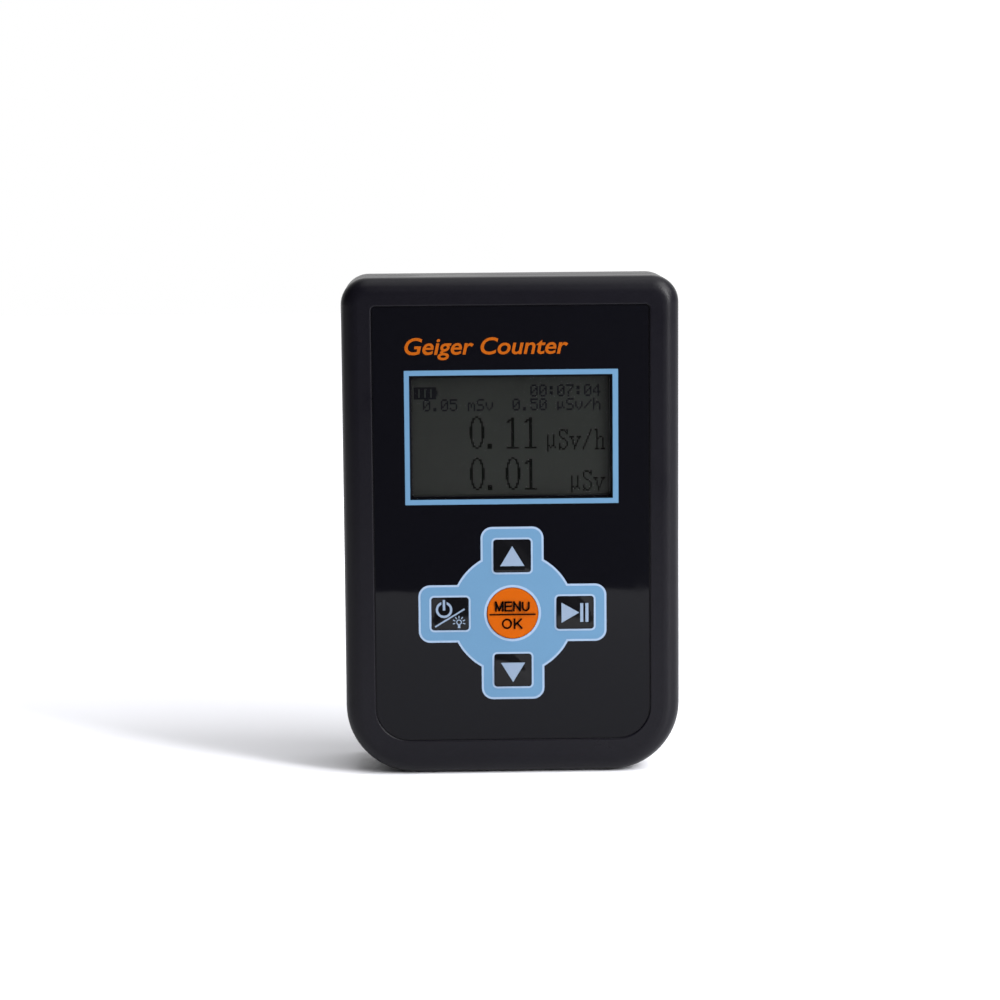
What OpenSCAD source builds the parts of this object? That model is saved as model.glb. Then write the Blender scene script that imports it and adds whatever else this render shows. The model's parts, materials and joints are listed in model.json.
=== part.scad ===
// Hand-held geiger counter: a dose-rate meter with a display, five keys, a battery bay and a belt clip.
// It stands on its lower face. X is its width, Z its height, and the front faces -Y.

/* [Housing] */
// Width of the housing
body_w = 70; // [64:1:90]
// Height of the housing
body_h = 104; // [100:1:130]
// Depth of the housing, front face to rear face
body_d = 26; // [26:0.5:34]
// Depth of the front half, from the front face to the parting plane
front_half_d = 12; // [11.8:0.1:12.2]
// Thickness of the side and rear walls
wall = 2; // [1.8:0.1:2.4]
// Thickness of the front wall behind the overlay
front_wall = 1.8; // [1.6:0.1:2]
// Radius of the two top corners
top_corner_r = 5.5; // [4:0.5:7]
// Radius of the two bottom corners
bottom_corner_r = 14.4; // [12:0.2:16]
// Rounding of the front edge
front_edge_r = 3.5; // [2:0.1:3.8]
// Rounding of the rear edge
rear_edge_r = 3; // [2:0.1:3.5]
// Width and depth of the sealing groove in the rear half's rim
groove_w = 0.9; // [0.6:0.1:1]
// Chamfer on each half's rim, which leaves a line round the parting plane
seam = 0.25; // [0.1:0.05:0.4]

/* [Front overlay] */
// Rim beside the overlay, at the left and right
rim_side = 6.25; // [5:0.25:7]
// Rim under the overlay
rim_bottom = 7.2; // [6:0.2:9]
// Rim over the overlay
rim_top = 5.8; // [5:0.2:7]
// Depth of the recess that the overlay lies in
recess_d = 0.45; // [0.4:0.05:0.6]
// Thickness of the overlay film
film_t = 0.25; // [0.2:0.05:0.35]
// Gap round the edge of the film
film_gap = 0.25; // [0.1:0.05:0.4]
// Radius of the recess's bottom corners
recess_bottom_r = 7; // [4:0.5:10]
// Radius of the recess's top corners
recess_top_r = 0.8; // [0.5:0.1:3]
// Rounding of the rim's edge into the recess
recess_edge_r = 0.3; // [0.1:0.05:0.4]

/* [Display] */
// Width of the display window
window_w = 42; // [36:1:44]
// Height of the display window
window_h = 25.7; // [22:0.1:28]
// Distance from the top of the housing to the window's centre
window_from_top = 33.1; // [31:0.1:34]
// How far the window pane reaches under the film on each side
window_lip = 1.8; // [1.2:0.1:2]
// Thickness of the window pane under the film
window_t = 0.98; // [0.7:0.01:1]
// Width of the display glass
lcd_w = 48; // [46:0.5:49]
// Height of the display glass
lcd_h = 33; // [30:0.5:34]
// Thickness of the display glass
lcd_t = 1.85; // [1.4:0.05:2]
// How far the display glass sits to the left of the window's centre
lcd_left = 0.25; // [0:0.05:0.5]
// How far the display glass sits under the window's centre
lcd_down = 0.6; // [0:0.1:1]
// Thickness of the display frame's walls
lcd_frame_t = 1.35; // [1:0.05:1.5]

/* [Keypad] */
// Height of the keypad's centre over the standing face
keypad_z = 34; // [33:0.1:36]
// Distance from the middle key to the left and right keys
key_pitch_x = 13.05; // [12.5:0.05:15]
// Distance from the middle key to the upper and lower keys
key_pitch_z = 12.05; // [11.5:0.05:12.2]
// Width of a rectangular key
key_w = 7.6; // [6.5:0.1:8.4]
// Height of a rectangular key
key_h = 6.7; // [6:0.1:7.4]
// Diameter of the round middle key
menu_key_d = 10.6; // [9:0.1:11.5]
// Corner radius of a rectangular key
key_corner_r = 0.5; // [0.4:0.1:1.2]
// Height of a key over the film
key_rise = 0.3; // [0.2:0.05:0.5]
// Travel of a key
key_travel = 0.3; // [0.2:0.05:0.35]
// Radius of a key's plunger
plunger_r = 1.75; // [1.4:0.05:1.9]
// Radial play of a plunger in its guide
plunger_play = 0.08; // [0.05:0.01:0.1]

/* [Circuit board] */
// Depth of the space between the front wall and the circuit board
board_space = 4.35; // [4.2:0.05:4.5]
// Thickness of the circuit board
board_t = 1.6; // [1:0.2:1.6]
// Gap between the circuit board and the side walls
board_gap = 1.2; // [0.8:0.1:1.6]
// Distance from the housing's sides to the board's screws
board_screw_inset = 6.5; // [6:0.1:7]
// Radius of the board's screws
board_screw_r = 1; // [0.8:0.1:1.2]

/* [Detector] */
// Radius of the geiger tube's glass
tube_r = 5; // [4:0.25:5.4]
// Length of the geiger tube's glass
tube_l = 46; // [40:1:47]
// Distance from the top of the housing to the tube's axis
tube_from_top = 16; // [15.8:0.1:17]
// Radius of the tube's end caps
tube_cap_r = 3; // [2.5:0.1:3.4]
// Length of a tube end cap
tube_cap_l = 3.5; // [3:0.1:3.6]
// Thickness of the filter sleeve round the tube
filter_t = 0.5; // [0.3:0.1:0.6]

/* [Batteries] */
// Radius of a cell
cell_r = 5.25; // [5:0.05:5.3]
// Length of a cell over its positive stud
cell_l = 44.5; // [43.5:0.1:45]
// Gap between the cells, and between a cell and the bay
cell_gap = 0.25; // [0.15:0.05:0.5]
// Room for a contact spring
spring_room = 4.45; // [3.5:0.05:5]
// Height of the battery bay's lower end over the standing face
bay_z = 6; // [5.5:0.1:6.5]
// Thickness of the battery bay's walls
bay_wall = 1.5; // [1.2:0.1:1.8]

/* [Battery door] */
// Thickness of the door
door_t = 1.8; // [1.6:0.1:2]
// Width of the ledge that the door lies on, beside the bay
door_ledge = 3; // [2.5:0.1:4]
// Width of a door tongue
tongue_w = 1.2; // [0.8:0.1:1.6]
// Clearance round the door
door_gap = 0.2; // [0.15:0.01:0.3]
// How far the door slides
door_travel = 60; // [55:1:64]

/* [Belt clip] */
// Width of the clip
clip_w = 18; // [16:1:20]
// Gap between the clip and the housing, for a belt
belt_gap = 5.5; // [5:0.5:7]
// Thickness of the clip
clip_t = 2; // [1.8:0.1:2.4]
// Distance from the top of the housing to the clip's pin
pin_from_top = 14; // [13.5:0.1:15]
// Length of the clip under its pin
clip_reach = 52; // [45:1:56]
// Length of the thumb tab over the pin
clip_tab = 7.5; // [7:0.1:8]
// Radius of the clip's pin
pin_r = 1; // [0.8:0.05:1.1]
// Radial play of the clip on its pin
pin_play = 0.05; // [0.03:0.01:0.1]

/* [Screws] */
// Radius of the housing screws
screw_r = 1.25; // [1:0.05:1.3]
// Radius of a housing screw's head
screw_head_r = 2.2; // [2:0.1:2.3]
// Distance from the housing's sides to the upper housing screws
screw_top_inset = 6; // [5.8:0.1:6.5]
// Distance from the housing's sides to the lower housing screws
screw_bottom_inset = 9; // [8.5:0.1:10]

/* [Hidden] */
$fn = 64;
// A small overshoot for cuts, and the thin gap left between faces that touch round a curve
over = 1;
hair = 0.02;

// Depth positions, all as Y
front_y = -body_d / 2;
rear_y = body_d / 2;
split_y = front_y + front_half_d;
rear_in_y = rear_y - wall;
recess_y = front_y + recess_d;
film_y = recess_y - film_t;
front_in_y = recess_y + front_wall;
board_y = front_in_y + board_space;
board_rear_y = board_y + board_t;

// Overlay
recess_w = body_w - 2 * rim_side;
recess_top_z = body_h - rim_top;
film_hole_gap = 0.12;

// Display
window_z = body_h - window_from_top;
window_rim = 0.1;
pane_y = recess_y + hair;
pane_rear_y = pane_y + window_t;
lcd_x = -lcd_left;
lcd_z = window_z - lcd_down;
lcd_play = 0.15;
lcd_rear_y = front_in_y + lcd_t;
ribbon_w = 14;
ribbon_t = 0.15;
ribbon_y = lcd_rear_y - 0.1;
ribbon_drop = 3.2;
connector_h = 1;
connector_len = 2.5;

// Keys: name order is up, down, power (left), play (right), menu (middle)
key_places = [[0, key_pitch_z], [0, -key_pitch_z], [-key_pitch_x, 0], [key_pitch_x, 0], [0, 0]];
flange_w = 0.8;
flange_t = 0.25;
flange_gap = 0.2;
flange_y = recess_y + hair;
flange_rear_y = flange_y + flange_t;
pocket_y = flange_rear_y + key_travel + 0.08;
switch_size = 6;
switch_h = 3.4;
switch_y = board_y - switch_h;
switch_cover_t = 0.3;
switch_well = 1;
plunger_end_y = switch_y + 0.35;

// Circuit board and what it carries
upper_screw_z = body_h - screw_top_inset;
lower_screw_z = screw_bottom_inset;
boss_r = 3;
boss_gap = 0.6;
board_w = body_w - 2 * (wall + board_gap);
board_z0 = lower_screw_z + boss_r + boss_gap + 0.4;
board_z1 = upper_screw_z - boss_r - boss_gap;
board_corner_r = 1.5;
board_boss_r = 2.4;
board_screw_head_r = 1.9;
board_screw_head_h = 1.2;
board_screw_l = 5;
board_screw_x = body_w / 2 - board_screw_inset;
board_screw_zs = [board_z0 + 10.4, board_z1 - 14.4];
parts_x = body_w / 2 - 10.5;
above_bay_z = body_h - 33.5;
chip_h = 1.4;
processor_size = 10;
processor_z = 46;
lead_w = 0.3;
lead_l = 1;
lead_t = 0.2;

// Detector
tube_z = body_h - tube_from_top;
filter_play = 0.1;
filter_r = tube_r + filter_play + filter_t;
filter_l = 32;
tube_y = board_rear_y + filter_r + 0.65;
clip_wire_t = 0.42;
clip_play = 0.03;
tube_clip_w = 2.6;

// Batteries and their bay
cell_x = cell_r + cell_gap;
bay_half_w = cell_x + cell_r + cell_gap;
plate_t = 0.5;
stud_r = 1.9;
stud_h = 0.8;
cell_slack = 0.05;
bay_l = 2 * plate_t + spring_room + cell_l + cell_slack;
bay_top_z = bay_z + bay_l;
door_in_y = rear_y - door_t;
bay_floor_y = door_in_y - 0.2 - 2 * cell_r - 0.1;
cell_y = bay_floor_y + 0.1 + cell_r;
bay_floor_t = 1;

// Battery door
door_half_w = bay_half_w + door_ledge;
door_top_z = bay_top_z + 2;
tongue_y0 = door_in_y + 0.05;
tongue_y1 = tongue_y0 + 0.95;
groove_half_w = door_half_w + tongue_w + door_gap;
rail_half_w = groove_half_w + 1.5;
rail_t = 1;
tab_half_w = 4;
tab_l = 2.4;
foot_y = rear_y - 5;
foot_t = 2;
ledge_y = door_in_y - 0.1;
grip_z = 0.52 * bay_top_z;
grip_half_w = 7;
grip_depth = 0.5;
rib_count = 5;
rib_pitch = 2.2;

// Belt clip
pin_y = rear_y + belt_gap - 1;
pin_z = body_h - pin_from_top;
clip_in_y = rear_y + belt_gap;
clip_out_y = clip_in_y + clip_t;
bracket_t = 1.6;
bracket_h = 16;
bracket_half_w = clip_w / 2 + 2;
ear_t = 1.7;
ear_r = 2.6;
hub_r = 2.2;
hub_l = 4.5;
hook_y = rear_y + 0.35;
clip_screw_x = 6;
clip_screw_dz = 5.3;
clip_screw_r = 1.25;
clip_screw_head_r = 2.2;
clip_screw_head_h = 1;
clip_screw_l = 5;
coil_r = 1.45;
coil_wire_r = 0.25;
coil_turns = 5.5;
coil_half_l = 3;

// Screws
head_h = 1.6;
head_y = rear_y - 9;
screw_l = 12;
pilot_play = 0.05;

// ---------------------------------------------------------------- shared shapes

// A drawing in the X-Z plane, made solid from y0 back to y1
module slab(y0, y1) {
    translate([0, y1, 0]) rotate([90, 0, 0]) linear_extrude(y1 - y0) children();
}

// A box from one corner to the opposite one
module block(low, high) {
    translate(low) cube(high - low);
}

// A cylinder along Y, from y0 to y1
module rod_y(x, z, r, y0, y1) {
    translate([x, y0, z]) rotate([-90, 0, 0]) cylinder(r = r, h = y1 - y0);
}

// A cylinder along X, centred on X
module rod_x(y, z, r, x0, x1) {
    translate([x0, y, z]) rotate([0, 90, 0]) cylinder(r = r, h = x1 - x0);
}

// A quarter of a disc, in the first quadrant
module quarter_disc(r) {
    intersection() {
        circle(r);
        square(r + over);
    }
}

// An upright panel with its own radius at the bottom and at the top
module panel(w, z0, z1, bottom_r, top_r) {
    translate([-w / 2, z0 + bottom_r]) square([w, z1 - top_r - z0 - bottom_r]);
    translate([-w / 2 + bottom_r, z0]) square([w - 2 * bottom_r, bottom_r]);
    translate([-w / 2 + top_r, z1 - top_r]) square([w - 2 * top_r, top_r]);
    for (side = [0, 1]) mirror([side, 0]) {
        translate([w / 2 - top_r, z1 - top_r]) quarter_disc(top_r);
        translate([w / 2 - bottom_r, z0 + bottom_r]) mirror([0, 1]) quarter_disc(bottom_r);
    }
}

// A rectangle with rounded corners, centred on x and z
module plate_shape(x, z, w, h, r) {
    translate([x, z]) panel(w, -h / 2, h / 2, r, r);
}

// Section through one edge of the housing: reach outwards along X, depth along Y. It is rounded at
// y = 0 and has the seam's chamfer at y = depth.
module edge_section(reach, depth, edge_r) {
    difference() {
        union() {
            translate([0, edge_r]) square([reach, depth - edge_r]);
            square([reach - edge_r, edge_r]);
            translate([reach - edge_r, edge_r]) mirror([0, 1]) quarter_disc(edge_r);
        }
        polygon([[reach - seam, depth], [reach, depth - seam], [reach + over, depth + over]]);
    }
}

// Section through one edge of the overlay's recess, as a cut that widens round the rim's edge
module recess_section(reach, depth, edge_r) {
    translate([0, -over]) square([reach, depth + over]);
    difference() {
        translate([reach, -over]) square([edge_r, edge_r + over]);
        translate([reach + edge_r, edge_r]) circle(edge_r);
    }
}

// The section of a swept shape: "form" is the housing's, and "recess" the overlay's cut
module section(kind, reach, depth, edge_r) {
    if (kind == "form")
        edge_section(reach, depth, edge_r);
    else
        recess_section(reach, depth, edge_r);
}

// A section carried round a panel's outline, with its face at y = 0 and its far side at y = depth
module swept_panel(kind, w, z0, z1, bottom_r, top_r, depth, edge_r) {
    band_z0 = z0 + bottom_r;
    band_z1 = z1 - top_r;
    translate([0, 0, band_z0]) linear_extrude(band_z1 - band_z0) for (side = [0, 1])
        mirror([side, 0]) section(kind, w / 2, depth, edge_r);
    translate([0, 0, band_z0]) swept_end(kind, w, bottom_r, depth, edge_r);
    translate([0, 0, band_z1]) mirror([0, 0, 1]) swept_end(kind, w, top_r, depth, edge_r);
}

// The lower end of a swept panel: two corners and the straight edge between them
module swept_end(kind, w, r, depth, edge_r) {
    half = w / 2 - r;
    translate([-half, 0, 0]) rotate([0, 90, 0]) linear_extrude(2 * half)
        section(kind, r, depth, edge_r);
    for (side = [0, 1]) mirror([side, 0, 0]) translate([half, 0, 0])
        rotate([-90, 0, 0]) rotate_extrude(angle = 90) section(kind, r, depth, edge_r);
}

// Half of the housing as a solid: its rounded face at y = 0 and its open side at y = depth
module housing_form(depth, edge_r) {
    swept_panel("form", body_w, 0, body_h, bottom_corner_r, top_corner_r, depth, edge_r);
}

// The housing's outline, set in from the outside by a distance
module housing_outline(inset) {
    panel(body_w - 2 * inset, inset, body_h - inset, bottom_corner_r - inset, top_corner_r - inset);
}

// Places for the four housing screws
module at_housing_screws() {
    for (side = [-1, 1]) {
        translate([side * (body_w / 2 - screw_top_inset), 0, upper_screw_z]) children();
        translate([side * (body_w / 2 - screw_bottom_inset), 0, lower_screw_z]) children();
    }
}

// Places for the four board screws
module at_board_screws() {
    for (side = [-1, 1], z = board_screw_zs) translate([side * board_screw_x, 0, z]) children();
}

// Places for the clip bracket's four screws
module at_clip_screws() {
    for (side = [-1, 1], up = [-1, 1])
        translate([side * clip_screw_x, 0, pin_z + up * clip_screw_dz]) children();
}

// Outline of key number i, grown by a distance
module key_shape(i, grow) {
    place = key_places[i];
    if (i == 4)
        translate([place[0], keypad_z + place[1]]) circle(menu_key_d / 2 + grow);
    else
        plate_shape(place[0], keypad_z + place[1], key_w + 2 * grow, key_h + 2 * grow,
            key_corner_r + grow);
}

// A round wire along a path. Each ring lies across the path, and "ref" is never along it.
function unit(v) = v / norm(v);
function heading(path, i) = unit(path[min(i + 1, len(path) - 1)] - path[max(i - 1, 0)]);
function ring(centre, t, ref, r, sides) =
    let (a = unit(ref - (ref * t) * t), b = cross(t, a))
    [for (k = [0:sides - 1]) centre + r * (cos(360 * k / sides) * a + sin(360 * k / sides) * b)];
module wire(path, r, ref, sides = 8) {
    last = len(path) - 1;
    points = [for (i = [0:last], p = ring(path[i], heading(path, i), ref, r, sides)) p];
    sides_faces = [for (i = [0:last - 1], k = [0:sides - 1])
        [i * sides + k, i * sides + (k + 1) % sides,
         (i + 1) * sides + (k + 1) % sides, (i + 1) * sides + k]];
    first_face = [for (k = [sides - 1:-1:0]) k];
    last_face = [for (k = [0:sides - 1]) last * sides + k];
    polyhedron(points, concat(sides_faces, [first_face, last_face]), convexity = 10);
}

// ---------------------------------------------------------------- housing

module front_housing() {
    color([0.13, 0.13, 0.14]) difference() {
        union() {
            difference() {
                translate([0, front_y, 0]) housing_form(front_half_d, front_edge_r);
                slab(front_in_y, split_y + over) housing_outline(wall);
            }
            at_housing_screws() rod_y(0, 0, boss_r, front_in_y - over / 2, split_y);
            at_board_screws() rod_y(0, 0, board_boss_r, front_in_y - over / 2, board_y);
        }
        translate([0, front_y, 0]) swept_panel("recess", recess_w, rim_bottom, recess_top_z,
            recess_bottom_r, recess_top_r, recess_d, recess_edge_r);
        slab(recess_y - over, pane_rear_y) window_shape(window_lip + window_rim);
        slab(recess_y, front_in_y + over) window_shape(-0.45);
        for (i = [0:4]) {
            slab(recess_y - over, pocket_y) key_shape(i, flange_w + flange_gap);
            rod_y(key_places[i][0], keypad_z + key_places[i][1], plunger_r + plunger_play,
                recess_y, front_in_y + over);
        }
        at_housing_screws() rod_y(0, 0, screw_r + pilot_play, split_y - 9, split_y + over);
        at_board_screws() rod_y(0, 0, board_screw_r + pilot_play, front_in_y, board_y + over);
    }
}

// Outline of the display window, grown by a distance
module window_shape(grow) {
    plate_shape(0, window_z, window_w + 2 * grow, window_h + 2 * grow, 0.6);
}

module rear_housing() {
    depth = body_d - front_half_d;
    color([0.13, 0.13, 0.14]) difference() {
        union() {
            difference() {
                translate([0, rear_y, 0]) mirror([0, 1, 0]) housing_form(depth, rear_edge_r);
                slab(split_y - over, rear_in_y) housing_outline(wall);
            }
            at_housing_screws() rod_y(0, 0, boss_r + 0.2, split_y, rear_y - wall / 2);
            at_clip_screws() rod_y(0, 0, 2.6, rear_in_y - 2, rear_y - wall / 2);
            bay_walls();
        }
        bay_and_door_cuts();
        slab(split_y - over, split_y + groove_w) groove_shape(0);
        at_housing_screws() {
            rod_y(0, 0, screw_head_r + 0.2, head_y, rear_y + over);
            rod_y(0, 0, screw_r + 0.2, split_y - over, rear_y);
        }
        at_clip_screws() rod_y(0, 0, clip_screw_r + pilot_play, rear_in_y - 2 - over, rear_y + over);
        sound_holes();
    }
}

// Walls round the battery bay, the rails for the door and the shelf over the door's foot
module bay_walls() {
    end_wall = bay_wall;
    half = bay_half_w + bay_wall;
    block([-half, bay_floor_y - bay_floor_t, wall / 2],
        [half, rear_y - wall / 2, bay_top_z + end_wall]);
    block([-rail_half_w, ledge_y - rail_t, wall / 2],
        [rail_half_w, rear_y - wall / 2, door_top_z + tab_l + bay_wall]);
    block([-rail_half_w, foot_y - 1.6, wall / 2],
        [rail_half_w, ledge_y - rail_t / 2, bay_z]);
}

// The bay's hollow, the door's seat, its two grooves, its tab pocket and the cut for its foot
module bay_and_door_cuts() {
    seat = door_half_w + door_gap;
    block([-bay_half_w, bay_floor_y, bay_z], [bay_half_w, rear_y + over, bay_top_z]);
    block([-seat, ledge_y, -over], [seat, rear_y + over, door_top_z + door_gap]);
    block([-groove_half_w, ledge_y, -over], [groove_half_w, tongue_y1 + 0.1, door_top_z + door_gap]);
    block([-tab_half_w - door_gap, ledge_y, bay_top_z],
        [tab_half_w + door_gap, tongue_y1 + 0.1, door_top_z + tab_l + door_gap]);
    block([-seat, foot_y - door_gap, -over], [seat, rear_y + over, foot_t + door_gap]);
}

// Seven round holes for the buzzer's sound
module sound_holes() {
    hole_r = 0.7;
    pitch = 2.7;
    for (k = [0:6]) {
        reach = k == 6 ? 0 : pitch;
        rod_y(parts_x - 4.5 + reach * cos(60 * k), above_bay_z + reach * sin(60 * k), hole_r,
            rear_in_y - over, rear_y + over);
    }
}

// Ring between two insets of the housing's outline, for the sealing groove
module groove_shape(play) {
    inset = (wall - groove_w) / 2;
    difference() {
        housing_outline(inset + play);
        housing_outline(inset + groove_w - play);
    }
}

module housing_gasket() {
    color([0.35, 0.35, 0.36]) slab(split_y, split_y + groove_w - 0.05) groove_shape(0.04);
}

module housing_screws() {
    color([0.6, 0.6, 0.62]) at_housing_screws() difference() {
        union() {
            rod_y(0, 0, screw_head_r, head_y, head_y + head_h);
            rod_y(0, 0, screw_r, head_y - screw_l, head_y + head_h / 2);
        }
        cross_slot(screw_head_r, head_y + head_h - 0.8, head_y + head_h + over);
    }
}

// Cross-shaped driver slot in a screw's head
module cross_slot(head_r, y0, y1) {
    block([-0.55 * head_r, y0, -0.25], [0.55 * head_r, y1, 0.25]);
    block([-0.25, y0, -0.55 * head_r], [0.25, y1, 0.55 * head_r]);
}

// ---------------------------------------------------------------- front overlay and keys

module overlay_film() {
    color([0.08, 0.08, 0.1]) slab(film_y, recess_y) difference() {
        panel(recess_w - 2 * film_gap, rim_bottom + film_gap, recess_top_z - film_gap,
            recess_bottom_r - film_gap, recess_top_r - film_gap);
        window_shape(window_rim);
        for (i = [0:4]) key_shape(i, film_hole_gap);
    }
}

module display_window() {
    color([0.6, 0.65, 0.6, 0.4]) {
        slab(pane_y, pane_rear_y) window_shape(window_lip);
        slab(film_y + hair, pane_y) window_shape(0);
    }
}

// Key number i: the pad that the finger meets, on a wider flange under the film
module key_pad(i) {
    slab(film_y - key_rise, flange_y) key_shape(i, 0);
    slab(flange_y, flange_rear_y) key_shape(i, flange_w);
}

module key_up() {
    color([0.05, 0.05, 0.06]) key_pad(0);
}

module key_down() {
    color([0.05, 0.05, 0.06]) key_pad(1);
}

module key_power() {
    color([0.05, 0.05, 0.06]) key_pad(2);
}

module key_play() {
    color([0.05, 0.05, 0.06]) key_pad(3);
}

module key_menu() {
    color([0.93, 0.4, 0.05]) key_pad(4);
}

// Plunger of key number i, from its flange into the well of its switch
module plunger(i) {
    rod_y(key_places[i][0], keypad_z + key_places[i][1], plunger_r, flange_rear_y, plunger_end_y);
}

module plunger_up() {
    color([0.85, 0.85, 0.82]) plunger(0);
}

module plunger_down() {
    color([0.85, 0.85, 0.82]) plunger(1);
}

module plunger_power() {
    color([0.85, 0.85, 0.82]) plunger(2);
}

module plunger_play() {
    color([0.85, 0.85, 0.82]) plunger(3);
}

module plunger_menu() {
    color([0.85, 0.85, 0.82]) plunger(4);
}

// Places for the five switches
module at_switches() {
    for (place = key_places) translate([place[0], 0, keypad_z + place[1]]) children();
}

module switch_bodies() {
    half = switch_size / 2;
    color([0.15, 0.15, 0.15]) at_switches() difference() {
        block([-half, switch_y + switch_cover_t, -half], [half, board_y, half]);
        rod_y(0, 0, plunger_r + 0.2, switch_y, switch_y + switch_well);
    }
}

module switch_covers() {
    half = switch_size / 2;
    color([0.75, 0.75, 0.78]) at_switches() {
        difference() {
            block([-half, switch_y, -half], [half, switch_y + switch_cover_t, half]);
            rod_y(0, 0, plunger_r + 0.2, switch_y - over, switch_y + over);
        }
        for (sx = [-1, 1], sz = [-1, 1])
            translate([sx * (half + lead_l / 2), board_y - lead_t / 2, sz * half * 0.75])
                cube([lead_l, lead_t, 0.7], center = true);
    }
}

// ---------------------------------------------------------------- display

// A rectangle of the display stack, centred on the display
module lcd_plate(y0, y1, w, h) {
    translate([lcd_x - w / 2, y0, lcd_z - h / 2]) cube([w, y1 - y0, h]);
}

module lcd_glass() {
    color([0.3, 0.32, 0.3]) lcd_plate(front_in_y, lcd_rear_y, lcd_w, lcd_h);
}

module lcd_backlight() {
    color([0.9, 0.9, 0.85]) lcd_plate(lcd_rear_y, board_y, lcd_w - 0.2, lcd_h - 0.2);
}

module lcd_frame() {
    hole_w = lcd_w + 2 * lcd_play;
    hole_h = lcd_h + 2 * lcd_play;
    color([0.2, 0.2, 0.2]) difference() {
        lcd_plate(front_in_y, board_y, hole_w + 2 * lcd_frame_t, hole_h + 2 * lcd_frame_t);
        lcd_plate(front_in_y - over, board_y + over, hole_w, hole_h);
        translate([lcd_x - ribbon_w / 2 - 0.5, ribbon_y - 0.6, lcd_z - lcd_h])
            cube([ribbon_w + 1, 1.4, lcd_h]);
    }
}

module lcd_ribbon() {
    z0 = lcd_z - lcd_h / 2;
    color([0.75, 0.45, 0.15]) translate([lcd_x - ribbon_w / 2, 0, z0]) {
        translate([0, ribbon_y, -ribbon_drop]) cube([ribbon_w, ribbon_t, ribbon_drop]);
        translate([0, ribbon_y, -ribbon_drop])
            cube([ribbon_w, board_y - connector_h - ribbon_y, ribbon_t]);
    }
}

module ribbon_connector() {
    z0 = lcd_z - lcd_h / 2 - ribbon_drop;
    color([0.85, 0.83, 0.75])
        translate([lcd_x - ribbon_w / 2 - 1, board_y - connector_h, z0 - connector_len / 2])
            cube([ribbon_w + 2, connector_h, connector_len]);
}

// ---------------------------------------------------------------- circuit board

module main_board() {
    color([0.08, 0.35, 0.2]) difference() {
        slab(board_y, board_rear_y)
            panel(board_w, board_z0, board_z1, board_corner_r, board_corner_r);
        at_board_screws() rod_y(0, 0, board_screw_r + 0.15, board_y - over, board_rear_y + over);
    }
}

module board_screws() {
    color([0.75, 0.75, 0.78]) at_board_screws() difference() {
        union() {
            rod_y(0, 0, board_screw_head_r, board_rear_y, board_rear_y + board_screw_head_h);
            rod_y(0, 0, board_screw_r, board_rear_y - board_screw_l, board_rear_y + 0.5);
        }
        cross_slot(board_screw_head_r, board_rear_y + board_screw_head_h - 0.6,
            board_rear_y + board_screw_head_h + over);
    }
}

// A box standing on the board's rear face, centred on x and z
module on_board(x, z, w, h, height) {
    translate([x - w / 2, board_rear_y, z - h / 2]) cube([w, height, h]);
}

module processor() {
    color([0.12, 0.12, 0.13]) on_board(parts_x, processor_z, processor_size, processor_size, chip_h);
}

// The smaller chips: each is a place and a size
chip_list = [[-parts_x, 49, 5, 5], [-parts_x, 40, 5, 4], [0, above_bay_z - 7.5, 4, 4],
    [-parts_x, 31.5, 6, 4]];

module small_chips() {
    color([0.12, 0.12, 0.13]) for (chip = chip_list)
        on_board(chip[0], chip[1], chip[2], chip[3], chip_h);
}

// A row of leads on both sides of a chip, along X or along Z
module lead_rows(x, z, half, count, pitch) {
    for (side = [-1, 1], k = [0:count - 1])
        on_board(x + side * (half + lead_l / 2), z + (k - (count - 1) / 2) * pitch,
            lead_l, lead_w, lead_t);
}

module chip_leads() {
    half = processor_size / 2;
    count = 12;
    pitch = 0.75;
    color([0.8, 0.8, 0.82]) {
        lead_rows(parts_x, processor_z, half, count, pitch);
        for (side = [-1, 1], k = [0:count - 1])
            on_board(parts_x + (k - (count - 1) / 2) * pitch, processor_z + side * (half + lead_l / 2),
                lead_w, lead_l, lead_t);
        for (chip = chip_list) lead_rows(chip[0], chip[1], chip[2] / 2, 4, 0.9);
    }
}

module chip_resistors() {
    color([0.25, 0.22, 0.2]) for (side = [-1, 1], column = [0:2], row = [0:2])
        on_board(side * parts_x + (column - 1) * 2.8, 56 + row * 1.6 - (side + 1) / 2, 1.6, 0.8, 0.5);
}

module crystal() {
    flange_h = 0.4;
    color([0.8, 0.8, 0.82]) {
        slab(board_rear_y, board_rear_y + flange_h) plate_shape(parts_x, 35, 11, 4.8, 2.3);
        slab(board_rear_y + flange_h, board_rear_y + 3.5) plate_shape(parts_x, 35, 10, 3.8, 1.8);
    }
}

module smoothing_capacitors() {
    base = 6.6;
    color([0.78, 0.78, 0.8]) for (z = [above_bay_z - 3.8, above_bay_z + 3.8]) {
        on_board(7, z, base, base, 0.9);
        rod_y(7, z, 3.15, board_rear_y + 0.9, board_rear_y + 6.2);
    }
}

transformer_x = -parts_x + 3.5;
core_w = 13;
core_h = 10;
core_l = 6;
leg_w = 3;
core_t = 2;

module transformer_core() {
    x0 = transformer_x - core_w / 2;
    window_x = (core_w - 2 * core_t - leg_w) / 2;
    color([0.22, 0.22, 0.24]) difference() {
        on_board(transformer_x, above_bay_z, core_w, core_l, core_h);
        for (x = [x0 + core_t, x0 + core_w - core_t - window_x])
            translate([x, board_rear_y + core_t, above_bay_z - core_l])
                cube([window_x, core_h - 2 * core_t, 2 * core_l]);
    }
}

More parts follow.
